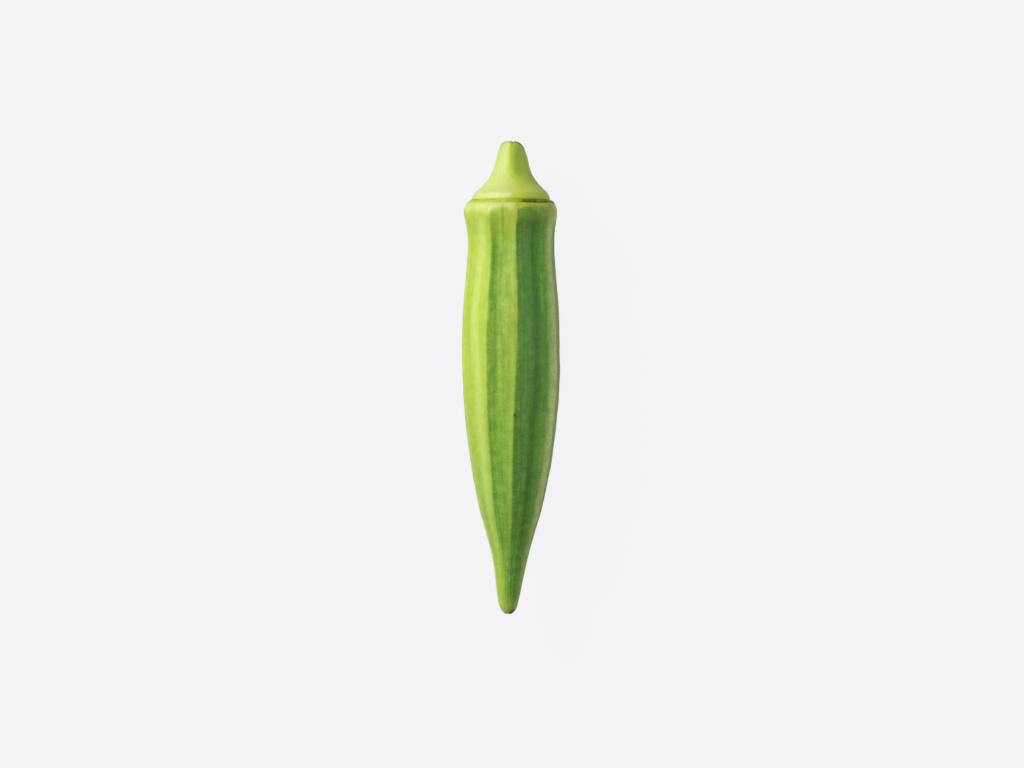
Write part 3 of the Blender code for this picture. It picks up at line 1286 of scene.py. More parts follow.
    def shoulder_grooves(self, rib: np.ndarray, share: np.ndarray, along: np.ndarray) -> np.ndarray:
        """Short grooves that part the lobes of the shoulder, from 0 to 1."""
        line = np.array(self.lobe_strengths)[rib] * bell(np.array(self.lobe_places)[rib], 0.035, share)
        reached = along / np.array(self.lobe_reaches)[rib]
        return line * smoothstep(0.004, 0.014, along) * smoothstep(1.0, 0.35, reached)

    def tone(self, share: np.ndarray, rib: np.ndarray, angle: np.ndarray, along: np.ndarray) -> np.ndarray:
        """How yellow each point is, all along the pod, with painted light and shade beside the scar and on
        the tip.

        Args:
            share: The share of the way to the next rib.
            rib: The rib before each point.
            angle: Angles round the axis, in radians.
            along: Shares of the length.

        Returns:
            From 0, deep green, to 1, yellow-green.
        """
        front, left, side = rib == 0, rib == 7, np.sin(angle)
        early = smoothstep(np.array(self.early_ends)[rib], 0.03, along) * np.array(self.early_tones)[rib]
        later = np.array(self.later_tones)[rib] * smoothstep(0.40, 0.82, along)
        streak = 0.06 * bell(0.27, 0.08, share) * front * smoothstep(0.9, 0.6, along)
        beside = 0.28 * smoothstep(0.14, 0.0, share) * left * smoothstep(0.32, 0.22, along)
        over = 0.50 * smoothstep(0.055, 0.03, share) * front * smoothstep(0.08, 0.03, along)
        over = over + 0.25 * bell(0.78, 0.10, share) * left * smoothstep(0.09, 0.03, along)
        narrow = 0.20 * smoothstep(0.10, 0.55, side) * bell(0.83, 0.055, along)
        body = self.panel_tone(share, rib) + early + later + streak + beside + over + narrow
        # Painted light and shade beside the scar: yellower on the lit left, deeper green on the right.
        by_scar = 0.70 - 0.62 * smoothstep(-0.05, 0.24, side)
        body = by_scar + (body - by_scar) * smoothstep(0.008, 0.036, along)
        # Painted light and shade on the tip: yellower on its lit left side, deeper green towards the right;
        # paler again at the far right and at the end.
        tip = 0.06 + 0.64 * smoothstep(0.06, -0.24, np.sin(angle + 0.16))
        tip = tip + 0.12 * smoothstep(0.1, 0.6, side) + 0.16 * smoothstep(0.75, 1.0, side)
        tip = tip + 0.60 * smoothstep(0.950, 0.980, along)
        return body + (tip - body) * smoothstep(0.78, 0.92, along)

    def panel_tone(self, share: np.ndarray, rib: np.ndarray) -> np.ndarray:
        """How yellow each point is: its panel's own tone, which meets the next one at the crest."""
        tones = np.array(self.tones)
        start, middle, end = tones[rib].T
        rising = start + (middle - start) * 2.0 * share
        falling = end + (middle - end) * 2.0 * (1.0 - share)
        tone = np.where(share < 0.5, rising, falling)
        before, following = tones[rib - 1, 2], tones[(rib + 1) % len(tones), 0]
        tone = tone + 0.5 * smoothstep(0.03, 0.0, share) * (before - start)
        return tone + 0.5 * smoothstep(0.97, 1.0, share) * (following - end)

    def ridges_and_highlights(self, angle: np.ndarray, along: np.ndarray) -> np.ndarray:
        """How much of a ridge's pale band, or of a painted highlight or reflection, each point shows.

        Args:
            angle: Angles round the axis, in radians.
            along: Shares of the length.

        Returns:
            From 0 to 1 for each point.
        """
        shown = np.zeros_like(angle)
        lean, side = smoothstep(*self.lean_span, along), np.sin(angle)
        wander = 1.0 + 0.70 * bell(0.28, 0.14, along)
        wider = 1.0 + 0.35 * smoothstep(0.45, 0.85, along)
        faded_rib, faded = self.faded_band
        for rib, (offset, width, strength) in enumerate(self.ridge_bands_and_highlights):
            middle = np.radians(self.ribs.angles[rib] + self.ribs.leans[rib] * lean + offset * wander)
            if rib == faded_rib:
                strength = strength - faded * (1.0 - bell(0.50, 0.16, along))
            away = turned_away(angle, middle) / np.radians(width * wider)
            shown = np.maximum(shown, strength * np.exp(-(np.abs(away) ** 3)))
        shown = shown * (1.0 - 0.7 * smoothstep(0.70, 0.92, along))
        # Painted reflection: a pale rim along the left edge towards the tip.
        rim = 0.85 * smoothstep(-0.80, -0.98, side) * smoothstep(0.50, 0.80, along)
        # Painted highlight on the tip's end, and a paler band before it, most on the lit left side.
        end_highlight = 0.85 * smoothstep(0.982, 0.996, along) * smoothstep(0.55, 0.0, side)
        end = smoothstep(0.955, 0.980, along) * (0.17 + 0.16 * smoothstep(0.1, -0.5, side))
        return np.maximum.reduce([shown, rim, end_highlight, end])

    def pale_shoulder(
        self, share: np.ndarray, rib: np.ndarray, across: np.ndarray, along: np.ndarray
    ) -> np.ndarray:
        """How pale the shoulder is: it reaches lower on the ridges, so the panels start in arches, with a
        painted highlight along its right edge.

        Args:
            share: The share of the way to the next rib.
            rib: The rib before each point.
            across: From -1 at the far left to 1 at the far right.
            along: Shares of the length.

        Returns:
            From 0 to 1 for each point.
        """
        crests, panel = np.array(self.shoulder_crests), np.array(self.shoulder_panels)[rib]
        first_half = share < 0.5
        crest = np.where(first_half, crests[rib], crests[(rib + 1) % len(crests)])
        crest = np.where((rib == 0) & (share > 0.04) & first_half, 0.0325, crest)
        reach = panel + (crest - panel) * np.abs(2.0 * share - 1.0) ** 3
        # Painted highlight along the shoulder's right edge.
        edge = 0.85 * smoothstep(0.86, 0.96, across) * smoothstep(0.07, 0.025, along)
        shown = np.array(self.shoulder_strengths)[rib] * smoothstep(1.10, 0.50, along / reach)
        return np.maximum(shown, edge)

    def fit(self, points: np.ndarray, low: Vector, high: Vector) -> np.ndarray:
        """Scales and moves the points into the CAD node's box, with the crests at its top.

        Args:
            points: All points.
            low: The box's lowest corner.
            high: Its highest corner.

        Returns:
            The points in place.
        """
        spread = points.max(0) - points.min(0)
        width = high.x - low.x
        points = points * np.array([(width + self.side_allowance) / spread[0], 1.0, width / spread[0]])
        middle = (points.max(0) + points.min(0)) / 2.0
        shift = ((low.x + high.x) / 2.0 - middle[0], high.y, high.z - points[:, 2].max())
        return points + np.array(shift)

    def scarred_tip(self, points: np.ndarray, low: Vector) -> tuple[np.ndarray, np.ndarray]:
        """Roughens the scar of the style, which lies a little to the right of the tip.

        Args:
            points: All points in place.
            low: The CAD node's lowest corner.

        Returns:
            The moved points, and how much of the scar each one shows.
        """
        tip = points[np.argmin(points[:, 1])]
        away = points - tip - np.array(self.scar_offset)
        away = away @ np.array(Matrix.Rotation(self.scar_turn, 3, "Z"))
        distance = np.linalg.norm(away / np.array(self.scar_size), axis=1)
        near_tip = points[:, 1] < low.y + self.scar_reach
        scar = np.where(near_tip, smoothstep(1.0, 0.55, distance), 0.0)
        angle = np.arctan2(away[:, 0], away[:, 2])
        torn = Waves(52, 9, (2, 7), (1.0, 4.0)).height(angle, distance)
        moved = points + np.outer(scar * (0.04 * torn - 0.03) * MM, (0.7, -0.6, 0.3))
        moved[:, 1] = np.maximum(moved[:, 1], low.y)
        return moved, scar

    def speck_place(self, points: np.ndarray, along: np.ndarray, angle: np.ndarray) -> Place:
        """The place of the one dark speck, just left of the upper ridge.

        Args:
            points: All points in place.
            along: Shares of the length.
            angle: Angles round the axis, in radians.

        Returns:
            The place of the point that is nearest to it.
        """
        round_, lengthwise = self.speck
        off_angle = np.abs(turned_away(angle, math.radians(round_)))
        miss = np.abs(along - lengthwise) * 8.0 + off_angle
        return tuple(float(value) for value in points[np.argmin(miss)])


@dataclass
class StemCap:
    """The cap that flares out from the cut stalk.

    Attributes:
        outline: Its outline from the scar to the cut.
        corners: Its five corners.
        stalk_relief: Corner to hollow up the stalk, as a share of the radius.
        lip_relief: The same at the lip.
        crest_share: How much of that stands outside the outline.
        stalk_bend: How far the stalk bends to the right, as a share of the radius.
        flare_bend: How far the flare leans to the right.
        overlap: How much further down than its CAD node it reaches, in metres.
        rings: How many rings of faces there are up to the cut.
        face_rings: How many there are on the cut.
        steps_per_corner: How many faces there are from corner to corner.
    """

    outline: Outline = Outline(
        (
            (0.000, 0.990),
            (0.006, 0.997),
            (0.034, 0.999),
            (0.070, 0.974),
            (0.110, 0.940),
            (0.150, 0.886),
            (0.205, 0.795),
            (0.278, 0.692),
            (0.360, 0.596),
            (0.470, 0.500),
            (0.600, 0.434),
            (0.780, 0.382),
            (0.930, 0.340),
            (0.985, 0.305),
        ),
        even_share=0.6,
    )
    corners: Ribs = Ribs(
        angles=(-8.0, 72.0, 146.0, 217.0, 287.0),
        leans=(16.0, 4.0, 0.0, 0.0, 0.0),
        hollow_places=(0.5, 0.5, 0.5, 0.5, 0.5),
        hollow_depths=(0.5, 1.0, 1.0, 1.0, 0.3),
        hollow_fades=(0.0, 0.0, 0.0, 0.0, 0.0),
        roundings=(0.9, 0.4, 0.35, 0.35, 0.5),
        crowding=0.35,
    )
    stalk_relief: float = 0.060
    lip_relief: float = 0.03
    crest_share: float = 0.4
    stalk_bend: float = 0.028
    flare_bend: float = 0.018
    overlap: float = 0.20 * MM
    rings: int = 130
    face_rings: int = 34
    steps_per_corner: int = 40

    def build(self) -> bpy.types.Object:
        """Makes the cap in the place of its CAD node.

        Returns:
            The dressed piece.
        """
        low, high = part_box("stem_cap")
        height, radius = high.y - low.y, (high.x - low.x) / 2.0
        side = [(along * height, share * radius) for along, share in self.outline.places(self.rings)]
        rim = side[-1]
        steps = self.steps_per_corner * len(self.corners.angles)
        mesh = mesh_from(turned([(0.0, 0.0), *side, *self.cut_face(rim)], steps), "stem_cap_skin")
        points = points_of(mesh)
        out = np.hypot(points[:, 0], points[:, 2])
        along = points[:, 1] / height
        turn = (np.arctan2(points[:, 0], points[:, 2]) / math.tau) % 1.0
        angle, rib, share = self.corners.place(turn, 1.0 - smoothstep(0.0, 0.75, along))
        relief = self.lip_relief + (self.stalk_relief - self.lip_relief) * smoothstep(0.1, 0.5, along)
        depth = self.corners.depth(rib, share, np.zeros_like(share))
        broad = 0.045 * MM * Waves(21, 8, (2, 5), (0.5, 2.0)).height(angle, along)
        fine = 0.010 * MM * Waves(22, 9, (12, 30), (1.0, 4.0)).height(angle, along)
        off_axis = smoothstep(0.0, 0.25 * radius, out)
        rounded = out * (1.0 + relief * (self.crest_share - depth)) + (broad + fine) * off_axis
        inner = out / rim[1]
        top = np.clip(along, 0.0, 1.0)
        bend = radius * (self.stalk_bend * top**2 + self.flare_bend * smoothstep(0.03, 0.20, top))
        x, z = rounded * np.sin(angle), rounded * np.cos(angle)
        ragged = self.ragged_cut(x, z, np.minimum(inner, 1.0), angle, rim[1])
        y = points[:, 1] + ragged * smoothstep(0.70, 1.0, along)
        move_points(mesh, self.fit(np.column_stack([x + bend, y, z]), low, high))
        self.colour(mesh, angle, along, inner, smoothstep(0.5, 0.9, out / radius))
        return piece("stem_cap_skin", mesh, CapFinish().build())

    def colour(
        self, mesh: bpy.types.Mesh, angle: np.ndarray, along: np.ndarray, inner: np.ndarray, outer: np.ndarray
    ) -> None:
        """Paints what the cap's material reads.

        Args:
            mesh: The cap's mesh.
            angle: Angles round the axis, in radians.
            along: Shares of the height.
            inner: Shares of the cut's radius.
            outer: From 0 on the underside to 1 on the skin.
        """
        across = np.sin(angle)
        front = smoothstep(-0.6, 0.0, np.cos(angle))
        corner = np.sin(np.radians(8.0 - 18.0 * smoothstep(0.0, 0.75, along)))
        stalk, top = smoothstep(0.22, 0.55, along), smoothstep(0.72, 0.95, along)
        past = across - corner
        lit_end, shade_start = -0.25 - 0.19 * stalk - 0.13 * top, 0.13 - 0.09 * stalk - 0.04 * top
        # Painted light and shade: paler on the lit side, the other colour on the side turned from the light.
        paint(mesh, "side", smoothstep(lit_end, shade_start, past) * front)
        rim_light = 0.75 * smoothstep(0.86, 0.98, across) * front * outer * smoothstep(0.24, 0.10, along)
        skin = np.maximum(outer, smoothstep(0.93, 1.0, inner) * stalk)
        # Painted light on the right flank, less where the lip's painted highlight is.
        beside = smoothstep(0.35 - 0.10 * stalk, 1.0, across) * (1.0 - 0.85 * rim_light)
        paint(mesh, "flank_light_and_shade", (0.5 + 0.2 * stalk) * beside * front * skin)
        # Painted shade: greener on the stalk's right side, away from the light, and along its left edge.
        upwards = (0.12 + 0.88 * stalk) * (1.0 - 0.22 * smoothstep(0.80, 0.95, along))
        right = 0.9 * smoothstep(-0.16, 0.38, past) * upwards
        left = (0.26 + 0.12 * top) * smoothstep(-0.60, -0.95, across) * stalk
        paint(mesh, "green", (right + left) * front)
        # Painted highlight on the lip: a lobe on its lit left side and, through rim_light, its right edge.
        lit_lobe = smoothstep(0.05, -0.07, across) * smoothstep(-0.78, -0.40, across)
        paint(mesh, "lip", np.maximum(0.9 * bell(0.072, 0.036, along) * outer * lit_lobe, rim_light))
        right = smoothstep(-0.06, 0.08, across)
        edge = 0.7 * smoothstep(0.034, 0.010, along) * (1.0 - right)
        paint(mesh, "fresh", outer * (0.9 * bell(0.045, 0.045, along) * right + edge))
        face = along > 0.93
        paint(mesh, "cut", face * smoothstep(0.97, 0.90, inner))
        paint(mesh, "vessels", face * bell(0.64, 0.07, inner))
        paint(mesh, "core", face * smoothstep(0.58, 0.46, inner))
        rim = smoothstep(0.945, 0.985, along) * smoothstep(0.84, 0.93, inner)
        near = 0.13 * smoothstep(0.80, 0.96, along) * smoothstep(0.6, 0.9, inner)
        paint(mesh, "browned", np.maximum(rim * (0.62 + 0.32 * smoothstep(0.1, 0.6, across)), near))

    def cut_face(self, rim: Point) -> list[Point]:
        """Walks the cut end: a rounded edge, a faint ring of vessels, a sunken core.

        Args:
            rim: The end of the stalk's outline, as (y, radius).

        Returns:
            The places from there to the axis, as (y, radius).
        """
        y, radius = rim
        inner = 1.0 - np.arange(1, self.face_rings + 1) / self.face_rings
        raised = 0.10 * smoothstep(1.0, 0.84, inner) + 0.03 * bell(0.64, 0.08, inner)
        raised = raised - 0.09 * smoothstep(0.60, 0.30, inner)
        return [(float(y + up * MM), float(share * radius)) for up, share in zip(raised, inner)]

    def ragged_cut(
        self, x: np.ndarray, z: np.ndarray, inner: np.ndarray, angle: np.ndarray, rim: float
    ) -> np.ndarray:
        """How far the cut end departs from a flat one, in metres.

        Args:
            x: Places to the right of the axis.
            z: Places above the axis.
            inner: Shares of the rim's radius.
            angle: Angles round the axis.
            rim: The rim's radius.

        Returns:
            The offset along Y of each point.
        """
        right, up = x / MM, z / MM
        slopes = -0.31 * np.maximum(right - 0.5, 0.0) ** 2 - 0.36 * np.maximum(-right - 1.2, 0.0) ** 2
        notch = -0.24 * bell(0.06, 0.28, right) * smoothstep(0.35, 0.9, inner)
        notch = notch * smoothstep(-0.2, 0.8, z / rim)
        torn = 0.05 * Waves(31, 9, (5, 17), (0.0, 0.1)).height(angle, inner)
        torn = torn * smoothstep(0.6, 1.0, inner)
        sawn = 0.025 * np.sin(9.0 * right + 2.0 * up) * smoothstep(1.0, 0.8, inner)
        return (slopes + notch + torn + sawn + 0.16 * z / rim) * MM

    def fit(self, points: np.ndarray, low: Vector, high: Vector) -> np.ndarray:
        """Moves the points into the CAD node's box.

        Args:
            points: All points.
            low: The box's lowest corner.
            high: Its highest corner.

        Returns:
            The points in place.
        """
        spread = points.max(0) - points.min(0)
        scale = (high.x - low.x) / spread[0]
        points = points * np.array([scale, (high.y - low.y + self.overlap) / spread[1], scale])
        middle = (points.max(0) + points.min(0)) / 2.0
        x, z = (low.x + high.x) / 2.0 - middle[0], (low.z + high.z) / 2.0 - middle[2]
        return points + np.array((x, high.y - points[:, 1].max(), z))


@dataclass
class CalyxScar:
    """The ring of dried tissue in the gap between pod and cap.

    Attributes:
        steps: How many faces there are round it.
        lowered: How far its middle lies below the gap's, in metres.
        profile: Its outline as (y, radius), in millimetres.
    """

    steps: int = 480
    lowered: float = 0.29 * MM
    profile: tuple[Point, ...] = (
        (-0.44, 8.92),
        (-0.33, 9.16),
        (-0.22, 9.13),
        (-0.10, 9.01),
        (0.02, 8.88),
        (0.12, 8.74),
        (0.22, 8.58),
        (0.30, 8.38),
        (0.36, 8.05),
    )

    def build(self) -> bpy.types.Object:
        """Makes the ring where the two CAD nodes face each other.

        Returns:
            The dressed piece.
        """
        pod_low, pod_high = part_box("pod")
        cap_low, cap_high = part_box("stem_cap")
        radius = self.profile[1][1] * MM
        middle = (cap_low.y + pod_high.y) / 2.0 - self.lowered
        walk = [(y * MM, out * MM) for y, out in self.profile]
        mesh = mesh_from(turned([(walk[0][0], 0.0), *walk, (walk[-1][0], 0.0)], self.steps), "calyx_scar")
        points = points_of(mesh)
        out = np.hypot(points[:, 0], points[:, 2])
        angle = np.arctan2(points[:, 0], points[:, 2])
        rim = smoothstep(0.75, 0.88, out / radius)
        torn = Waves(41, 12, (9, 50), (0.0, 0.5)).height(angle, points[:, 1] / MM)
        wavy = Waves(42, 6, (3, 11), (0.0, 0.1)).height(angle, points[:, 1] / MM)
        side = np.sin(angle)
        less = 0.22 * smoothstep(0.56, 0.68, side) + 0.3 * smoothstep(0.78, 0.93, side)
        dark = smoothstep(-0.12, 0.63, side) * (1.0 - less)
        scale = 1.0 + rim * (0.04 * torn - 0.01 + 0.03 * dark) * MM / radius
        thick = 1.0 + rim * 0.22 * wavy
        drop = 0.09 * MM * smoothstep(-0.2, 0.5, side)
        x = points[:, 0] * scale + (pod_low.x + pod_high.x) / 2.0
        z = points[:, 2] * scale + (cap_low.z + cap_high.z) / 2.0
        move_points(mesh, np.column_stack([x, points[:, 1] * thick + middle - drop, z]))
        end = 0.54 * smoothstep(-0.68, -0.93, side) - 0.14 * bell(-0.42, 0.2, side)
        # Olive on the lit left, dark brown on the right: partly dried tissue, partly painted shade.
        paint(mesh, "olive", 0.92 - 0.97 * dark - end + 0.14 * wavy)
        return piece("calyx_scar", mesh, ScarFinish("calyx_scar_tissue").build())


@dataclass
class StyleScar:
    """The withered stub of the style, a small brown scab on the tip.

    Attributes:
        half_sizes: Half its length, thickness and height.
        sunk: How deep its middle lies below the skin.
        turn: Its turn about Z.
        shown: Skin that shows more of the scar than this is under the scab.
        finish: Its finish.
    """

    half_sizes: Place = (0.62 * MM, 0.26 * MM, 0.40 * MM)
    sunk: float = 0.14 * MM
    turn: float = math.radians(49.0)
    shown: float = 0.9
    finish: ScarFinish = ScarFinish(
        "style_scar_tissue", dark=(0.085, 0.075, 0.022), olive=(0.330, 0.330, 0.130)
    )

    def build(self, pod: bpy.types.Object) -> bpy.types.Object:
        """Makes the stub where the pod's skin shows the scar.

        Args:
            pod: The finished pod.

        Returns:
            The dressed piece.
        """
        built = bmesh.new()
        bmesh.ops.create_icosphere(built, subdivisions=4, radius=1.0)
        mesh = mesh_from(built, "style_scar")
        points = points_of(mesh)
        angle, height = np.arctan2(points[:, 0], points[:, 2]), points[:, 1]
        lumps = 1.0 + 0.14 * Waves(51, 9, (2, 6), (0.5, 2.0)).height(angle, height)
        points = points * lumps[:, None] * np.array(self.half_sizes)
        under = painted_on(pod.data, "scar") > self.shown
        normals = np.array([vertex.normal for vertex in pod.data.vertices])[under].mean(0)
        centre = points_of(pod.data)[under].mean(0) - self.sunk * normals / np.linalg.norm(normals)
        placed = points @ np.array(Matrix.Rotation(self.turn, 3, "Z")).T + centre
        placed[:, 1] = np.maximum(placed[:, 1], CAD_BOX[0][1])
        move_points(mesh, placed)
        paint(mesh, "olive", np.full(len(points), 0.5))
        return piece("style_scar", mesh, self.finish.build())


@dataclass
class Down:
    """Short hairs that stand on a skin and lean towards the tip.

    Attributes:
        name: The piece's name.
        count: How many hairs there are.
        seed: Seed of the draw.
        length: Shortest and longest hair, in metres.
        root_radius: Radius at the root.
        finish: The hairs' finish.
        tone: The skin's painted tone, which the hairs take on.
        bare: The skin's painted marks that carry no hairs.
        sides: Sides of a hair.
        lean: How far the hairs lean towards the tip, against their length, and how unevenly.
        spread: How unevenly they lean to the sides.
        shortest: Hairs that are shorter than this once they are inside the box are left out.
        rooted: How deep they stand in the skin.
        slanted: A direction that no hair follows.
    """

    name: str
    count: int
    seed: int
    length: Point
    root_radius: float
    finish: DownFinish
    tone: str
    bare: tuple[str, ...]
    sides: int = 3
    lean: Point = (-0.55, 0.2)
    spread: float = 0.22
    shortest: float = 0.06 * MM
    rooted: float = 0.02 * MM
    slanted: Place = (0.31, 0.17, 0.93)

    def build(self, skin: bpy.types.Object, floor: float) -> bpy.types.Object:
        """Grows the hairs.

        Args:
            skin: The piece that they stand on.
            floor: Hairs that would reach below this height are left out.

        Returns:
            The dressed piece.
        """
        draw = np.random.default_rng(self.seed)
        roots, normals, tones = self.roots(skin, draw)
        tips = roots + self.hairs(normals, draw)
        tips = np.clip(tips, *(np.array(corner) for corner in CAD_BOX))
        aim = tips - roots
        length = np.linalg.norm(aim, axis=1)
        kept = (tips[:, 2] > floor) & (length > self.shortest)
        roots, length, tones = roots[kept], length[kept], tones[kept]
        aim = aim[kept] / length[:, None]
        mesh = self.blank_hairs(len(roots))
        blank = points_of(mesh).reshape(len(roots), -1, 3)
        side = np.cross(aim, self.slanted)
        side /= np.linalg.norm(side, axis=1)[:, None]
        round_ = blank[:, :, :2, None] * np.stack([side, np.cross(aim, side)], 1)[:, None]
        up = blank[:, :, 2:3] * (length + self.rooted)[:, None, None] * aim[:, None]
        start = roots - aim * self.rooted
        move_points(mesh, (start[:, None] + round_.sum(2) * self.root_radius + up).reshape(-1, 3))
        paint(mesh, "out", blank[:, :, 2].ravel())
        paint(mesh, "skin_tone", np.repeat(tones, blank.shape[1]))
        return piece(self.name, mesh, self.finish.build())

    def hairs(self, normals: np.ndarray, draw: np.random.Generator) -> np.ndarray:
        """Draws which way each hair points and how long it is.

        Args:
            normals: The skin's normal at each root.
            draw: The source of the draws.

        Returns:
            From root to tip of each hair.
        """
        lean = np.column_stack(
            [
                draw.normal(0.0, self.spread, self.count),
                draw.normal(*self.lean, self.count),
                draw.normal(0.0, self.spread, self.count),
            ]
        )
        aim = normals + lean
        aim /= np.linalg.norm(aim, axis=1)[:, None]
        return aim * draw.uniform(*self.length, self.count)[:, None]

    def roots(self, skin: bpy.types.Object, draw: np.random.Generator) -> tuple[np.ndarray, ...]:
        """Draws places on the skin, evenly by area.

        Args:
            skin: The piece that the hairs stand on.
            draw: The source of the draws.

        Returns:
            The places, with the normals and the skin's tone there.
        """
        mesh = skin.data
        mesh.calc_loop_triangles()
        corners = np.zeros(len(mesh.loop_triangles) * 3, np.int32)
        mesh.loop_triangles.foreach_get("vertices", corners)
        corners = corners.reshape(-1, 3)
        points = points_of(mesh)[corners]
        first_edge, second_edge = points[:, 1] - points[:, 0], points[:, 2] - points[:, 0]
        cross = np.cross(first_edge, second_edge)
        area = np.linalg.norm(cross, axis=1)
        marked = sum(painted_on(mesh, name) for name in self.bare)
        weight = area * (marked[corners].max(1) < 0.1)
        chosen = draw.choice(len(area), self.count, p=weight / weight.sum())
        first, second = draw.random(self.count), draw.random(self.count)
        fold = first + second > 1.0
        first[fold], second[fold] = 1.0 - first[fold], 1.0 - second[fold]
        roots = points[chosen, 0] + first[:, None] * first_edge[chosen]
        roots = roots + second[:, None] * second_edge[chosen]
        tones = painted_on(mesh, self.tone)[corners[chosen, 0]]
        return roots, cross[chosen] / area[chosen][:, None], np.clip(tones, 0.0, 1.0)

    def blank_hairs(self, count: int) -> bpy.types.Mesh:
        """Makes that many unit hairs on top of each other, standing on Z from 0 to 1.

        Args:
            count: How many hairs there are.

        Returns:
            Their mesh.
        """
        built = bmesh.new()
        bmesh.ops.create_cone(
            built, cap_ends=False, segments=self.sides, radius1=1.0, radius2=0.0, depth=1.0
        )
        bmesh.ops.remove_doubles(built, verts=built.verts, dist=1e-4)
        bmesh.ops.translate(built, verts=built.verts, vec=(0.0, 0.0, 0.5))
        one = mesh_from(built, self.name + "_hair")
        holder = bpy.data.objects.new(self.name + "_hair", one)
        bpy.context.scene.collection.objects.link(holder)
        repeat = holder.modifiers.new("repeat", "ARRAY")
        repeat.count = count
        repeat.use_relative_offset = False
        repeat.use_constant_offset = True
        repeat.constant_offset_displace = (0.0, 0.0, 0.0)
        depsgraph = bpy.context.evaluated_depsgraph_get()
        mesh = bpy.data.meshes.new_from_object(holder.evaluated_get(depsgraph))
        bpy.data.objects.remove(holder)
        return mesh


# --------------------------------------------------------------------------- the studio


@dataclass(frozen=True)
class Lamp:
    """A square light that shines at the pod.

    Attributes:
        name: Its name.
        place: Where it hangs.
        size: Its side.
        watts: Its power.
        colour: Its colour.
    """

    name: str
    place: Place
    size: float
    watts: float
    colour: Colour = (1.0, 1.0, 1.0)

    def hang(self, aim: Place) -> None:
        """Adds it to the scene, turned towards a place."""
        light = bpy.data.lights.new(self.name, "AREA")
        light.size = self.size
        light.energy = self.watts
        light.color = self.colour
        made = bpy.data.objects.new(self.name, light)
        bpy.context.scene.collection.objects.link(made)
        made.location = self.place
        made.rotation_euler = (Vector(aim) - Vector(self.place)).to_track_quat("-Z", "Y").to_euler()


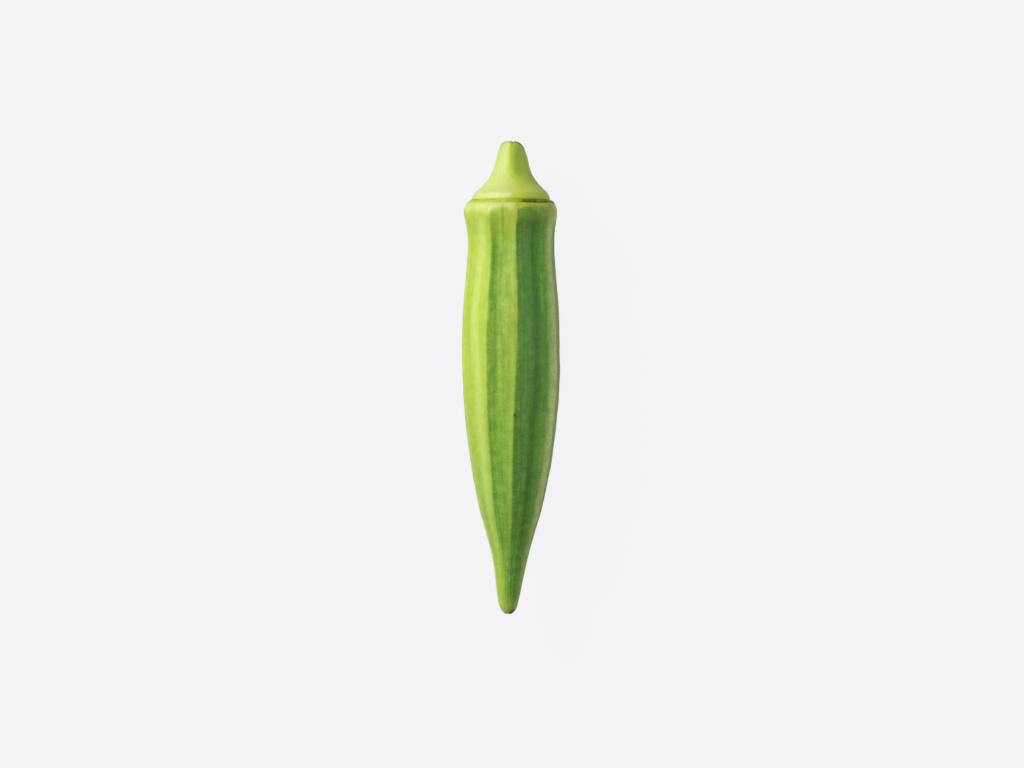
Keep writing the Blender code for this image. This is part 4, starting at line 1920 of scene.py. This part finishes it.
@dataclass
class Studio:
    """A pale floor, soft light from the left, and a camera that looks straight down.

    Attributes:
        floor_radius: Radius of the floor, a wide disc.
        floor_gap: How far below the pod's flats it lies, so that the two don't coincide.
        floor_colour: Its colour under the lights.
        floor_tint: The colour that it glows in.
        floor_glow: How bright it is to the pod.
        floor_seen: How bright it is to the camera.
        ambient: How bright the surroundings are to the pod.
        backdrop: How bright they are to the camera.
        lamps: The lights.
        lamp_aim: What they are turned towards.
        lens: The camera's lens, in millimetres.
        sensor: The width of its film, in millimetres.
        clip: The nearest and the furthest thing that it sees.
        camera_height: How high it hangs.
        frame_offset: Where it hangs, from the middle of the box.
    """

    floor_radius: float = 8.0
    floor_gap: float = 0.02 * MM
    floor_colour: Colour = (0.02, 0.02, 0.02)
    floor_tint: Colour = (1.0, 1.0, 1.019)
    floor_glow: float = 0.37
    floor_seen: float = 0.884
    ambient: float = 0.20
    backdrop: float = 0.90
    lamps: tuple[Lamp, ...] = (
        Lamp("key_light", (-0.38, 0.28, 0.34), 0.16, 3.7, (1.0, 0.98, 0.94)),
        Lamp("low_strip", (-0.50, 0.06, 0.07), 0.14, 0.20),
        Lamp("right_reflector", (0.42, 0.02, 0.09), 0.20, 0.55),
    )
    lamp_aim: Place = (0.0, 0.0, 0.01)
    lens: float = 240.0
    sensor: float = 36.0
    clip: Point = (0.01, 50.0)
    camera_height: float = 1.4534
    frame_offset: Point = (0.18 * MM, -1.37 * MM)

    def build(self) -> None:
        """Sets the whole studio up round the CAD box."""
        self.floor()
        self.world()
        for lamp in self.lamps:
            lamp.hang(self.lamp_aim)
        self.camera()
        bpy.context.scene.view_settings.view_transform = "Standard"

    def floor(self) -> None:
        """The floor, a wide plain disc."""
        built = bmesh.new()
        lowered = Matrix.Translation((0.0, 0.0, -self.floor_gap))
        bmesh.ops.create_circle(
            built, cap_ends=True, segments=96, radius=self.floor_radius, matrix=lowered
        )
        material, bench, paper = new_material("pale_floor")
        bench.feed(paper.inputs["Base Color"], self.floor_colour)
        bench.feed(paper.inputs["Roughness"], 0.9)
        bench.feed(paper.inputs["Specular IOR Level"], 0.1)
        bench.feed(paper.inputs["Emission Color"], self.floor_tint)
        seen = bench.node("LightPath").outputs["Is Camera Ray"]
        strength = bench.span(seen, 0.0, 1.0, (self.floor_glow, self.floor_seen))
        bench.feed(paper.inputs["Emission Strength"], strength)
        floor = piece("floor", mesh_from(built, "floor"), material)

    def world(self) -> None:
        """Even light from all round, and a pale backdrop behind the floor's edge."""
        world = bpy.data.worlds.new("studio")
        bpy.context.scene.world = world
        world.use_nodes = True
        bench = Bench(world.node_tree)
        background = world.node_tree.nodes["Background"]
        seen = bench.node("LightPath").outputs["Is Camera Ray"]
        bench.feed(background.inputs["Color"], (1.0, 1.0, 1.0))
        strength = bench.span(seen, 0.0, 1.0, (self.ambient, self.backdrop))
        bench.feed(background.inputs["Strength"], strength)

    def camera(self) -> None:
        """The camera, straight above the pod, with the stalk towards the top of the picture."""
        data = bpy.data.cameras.new("camera")
        data.lens = self.lens
        data.sensor_width = self.sensor
        data.clip_start, data.clip_end = self.clip
        made = bpy.data.objects.new("camera", data)
        bpy.context.scene.collection.objects.link(made)
        low, high = CAD_BOX
        x, y = ((low[axis] + high[axis]) / 2.0 + self.frame_offset[axis] for axis in (0, 1))
        made.location = (x, y, self.camera_height)
        bpy.context.scene.camera = made


POD_DOWN = Down(
    name="pod_down",
    count=40000,
    seed=61,
    length=(0.14 * MM, 0.30 * MM),
    root_radius=0.010 * MM,
    finish=DownFinish(
        "pod_hair",
        dark=((0.16, 0.36, 0.05), (0.40, 0.55, 0.22)),
        pale=((0.46, 0.58, 0.12), (0.66, 0.74, 0.38)),
    ),
    # The hairs take on the pod's tone, with its painted light and shade.
    tone="tone",
    bare=("scar",),
)
CAP_DOWN = Down(
    name="cap_down",
    count=5000,
    seed=62,
    length=(0.12 * MM, 0.26 * MM),
    root_radius=0.012 * MM,
    finish=DownFinish(
        "cap_hair",
        dark=((0.58, 0.66, 0.26), (0.80, 0.84, 0.58)),
        pale=((0.45, 0.58, 0.12), (0.70, 0.78, 0.42)),
    ),
    # The hairs take on the cap's painted light and shade, paler on the lit side.
    tone="side",
    bare=("cut", "browned"),
)


def dress(made: bpy.types.Object, slot: Slot, *nodes: str) -> bpy.types.Object:
    """Lets a piece ride on the body and reports it.

    Args:
        made: The finished piece.
        slot: Its material slot; not used.
        nodes: The CAD nodes that it stands for.

    Returns:
        The same piece.
    """
    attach(made, BODY)
    if nodes:
        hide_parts(*nodes)
    triangles = sum(len(face.vertices) - 2 for face in made.data.polygons)
    LOG.info("%s: %d triangles", made.name, triangles)
    return made


def main() -> None:
    """Builds the pieces in order, then the studio."""
    logging.basicConfig(level=logging.INFO, format="%(message)s")
    make_mottle_group()
    make_fibre_group()
    make_fleck_group()
    pod = dress(Pod().build(), Slot.POD, "pod")
    cap = dress(StemCap().build(), Slot.CAP, "stem_cap")
    dress(CalyxScar().build(), Slot.CAP)
    dress(StyleScar().build(pod), Slot.POD)
    dress(POD_DOWN.build(pod, FLOOR_HEIGHT), Slot.POD)
    dress(CAP_DOWN.build(cap, FLOOR_HEIGHT), Slot.CAP)
    Studio().build()


if __name__ == "__main__":
    main()
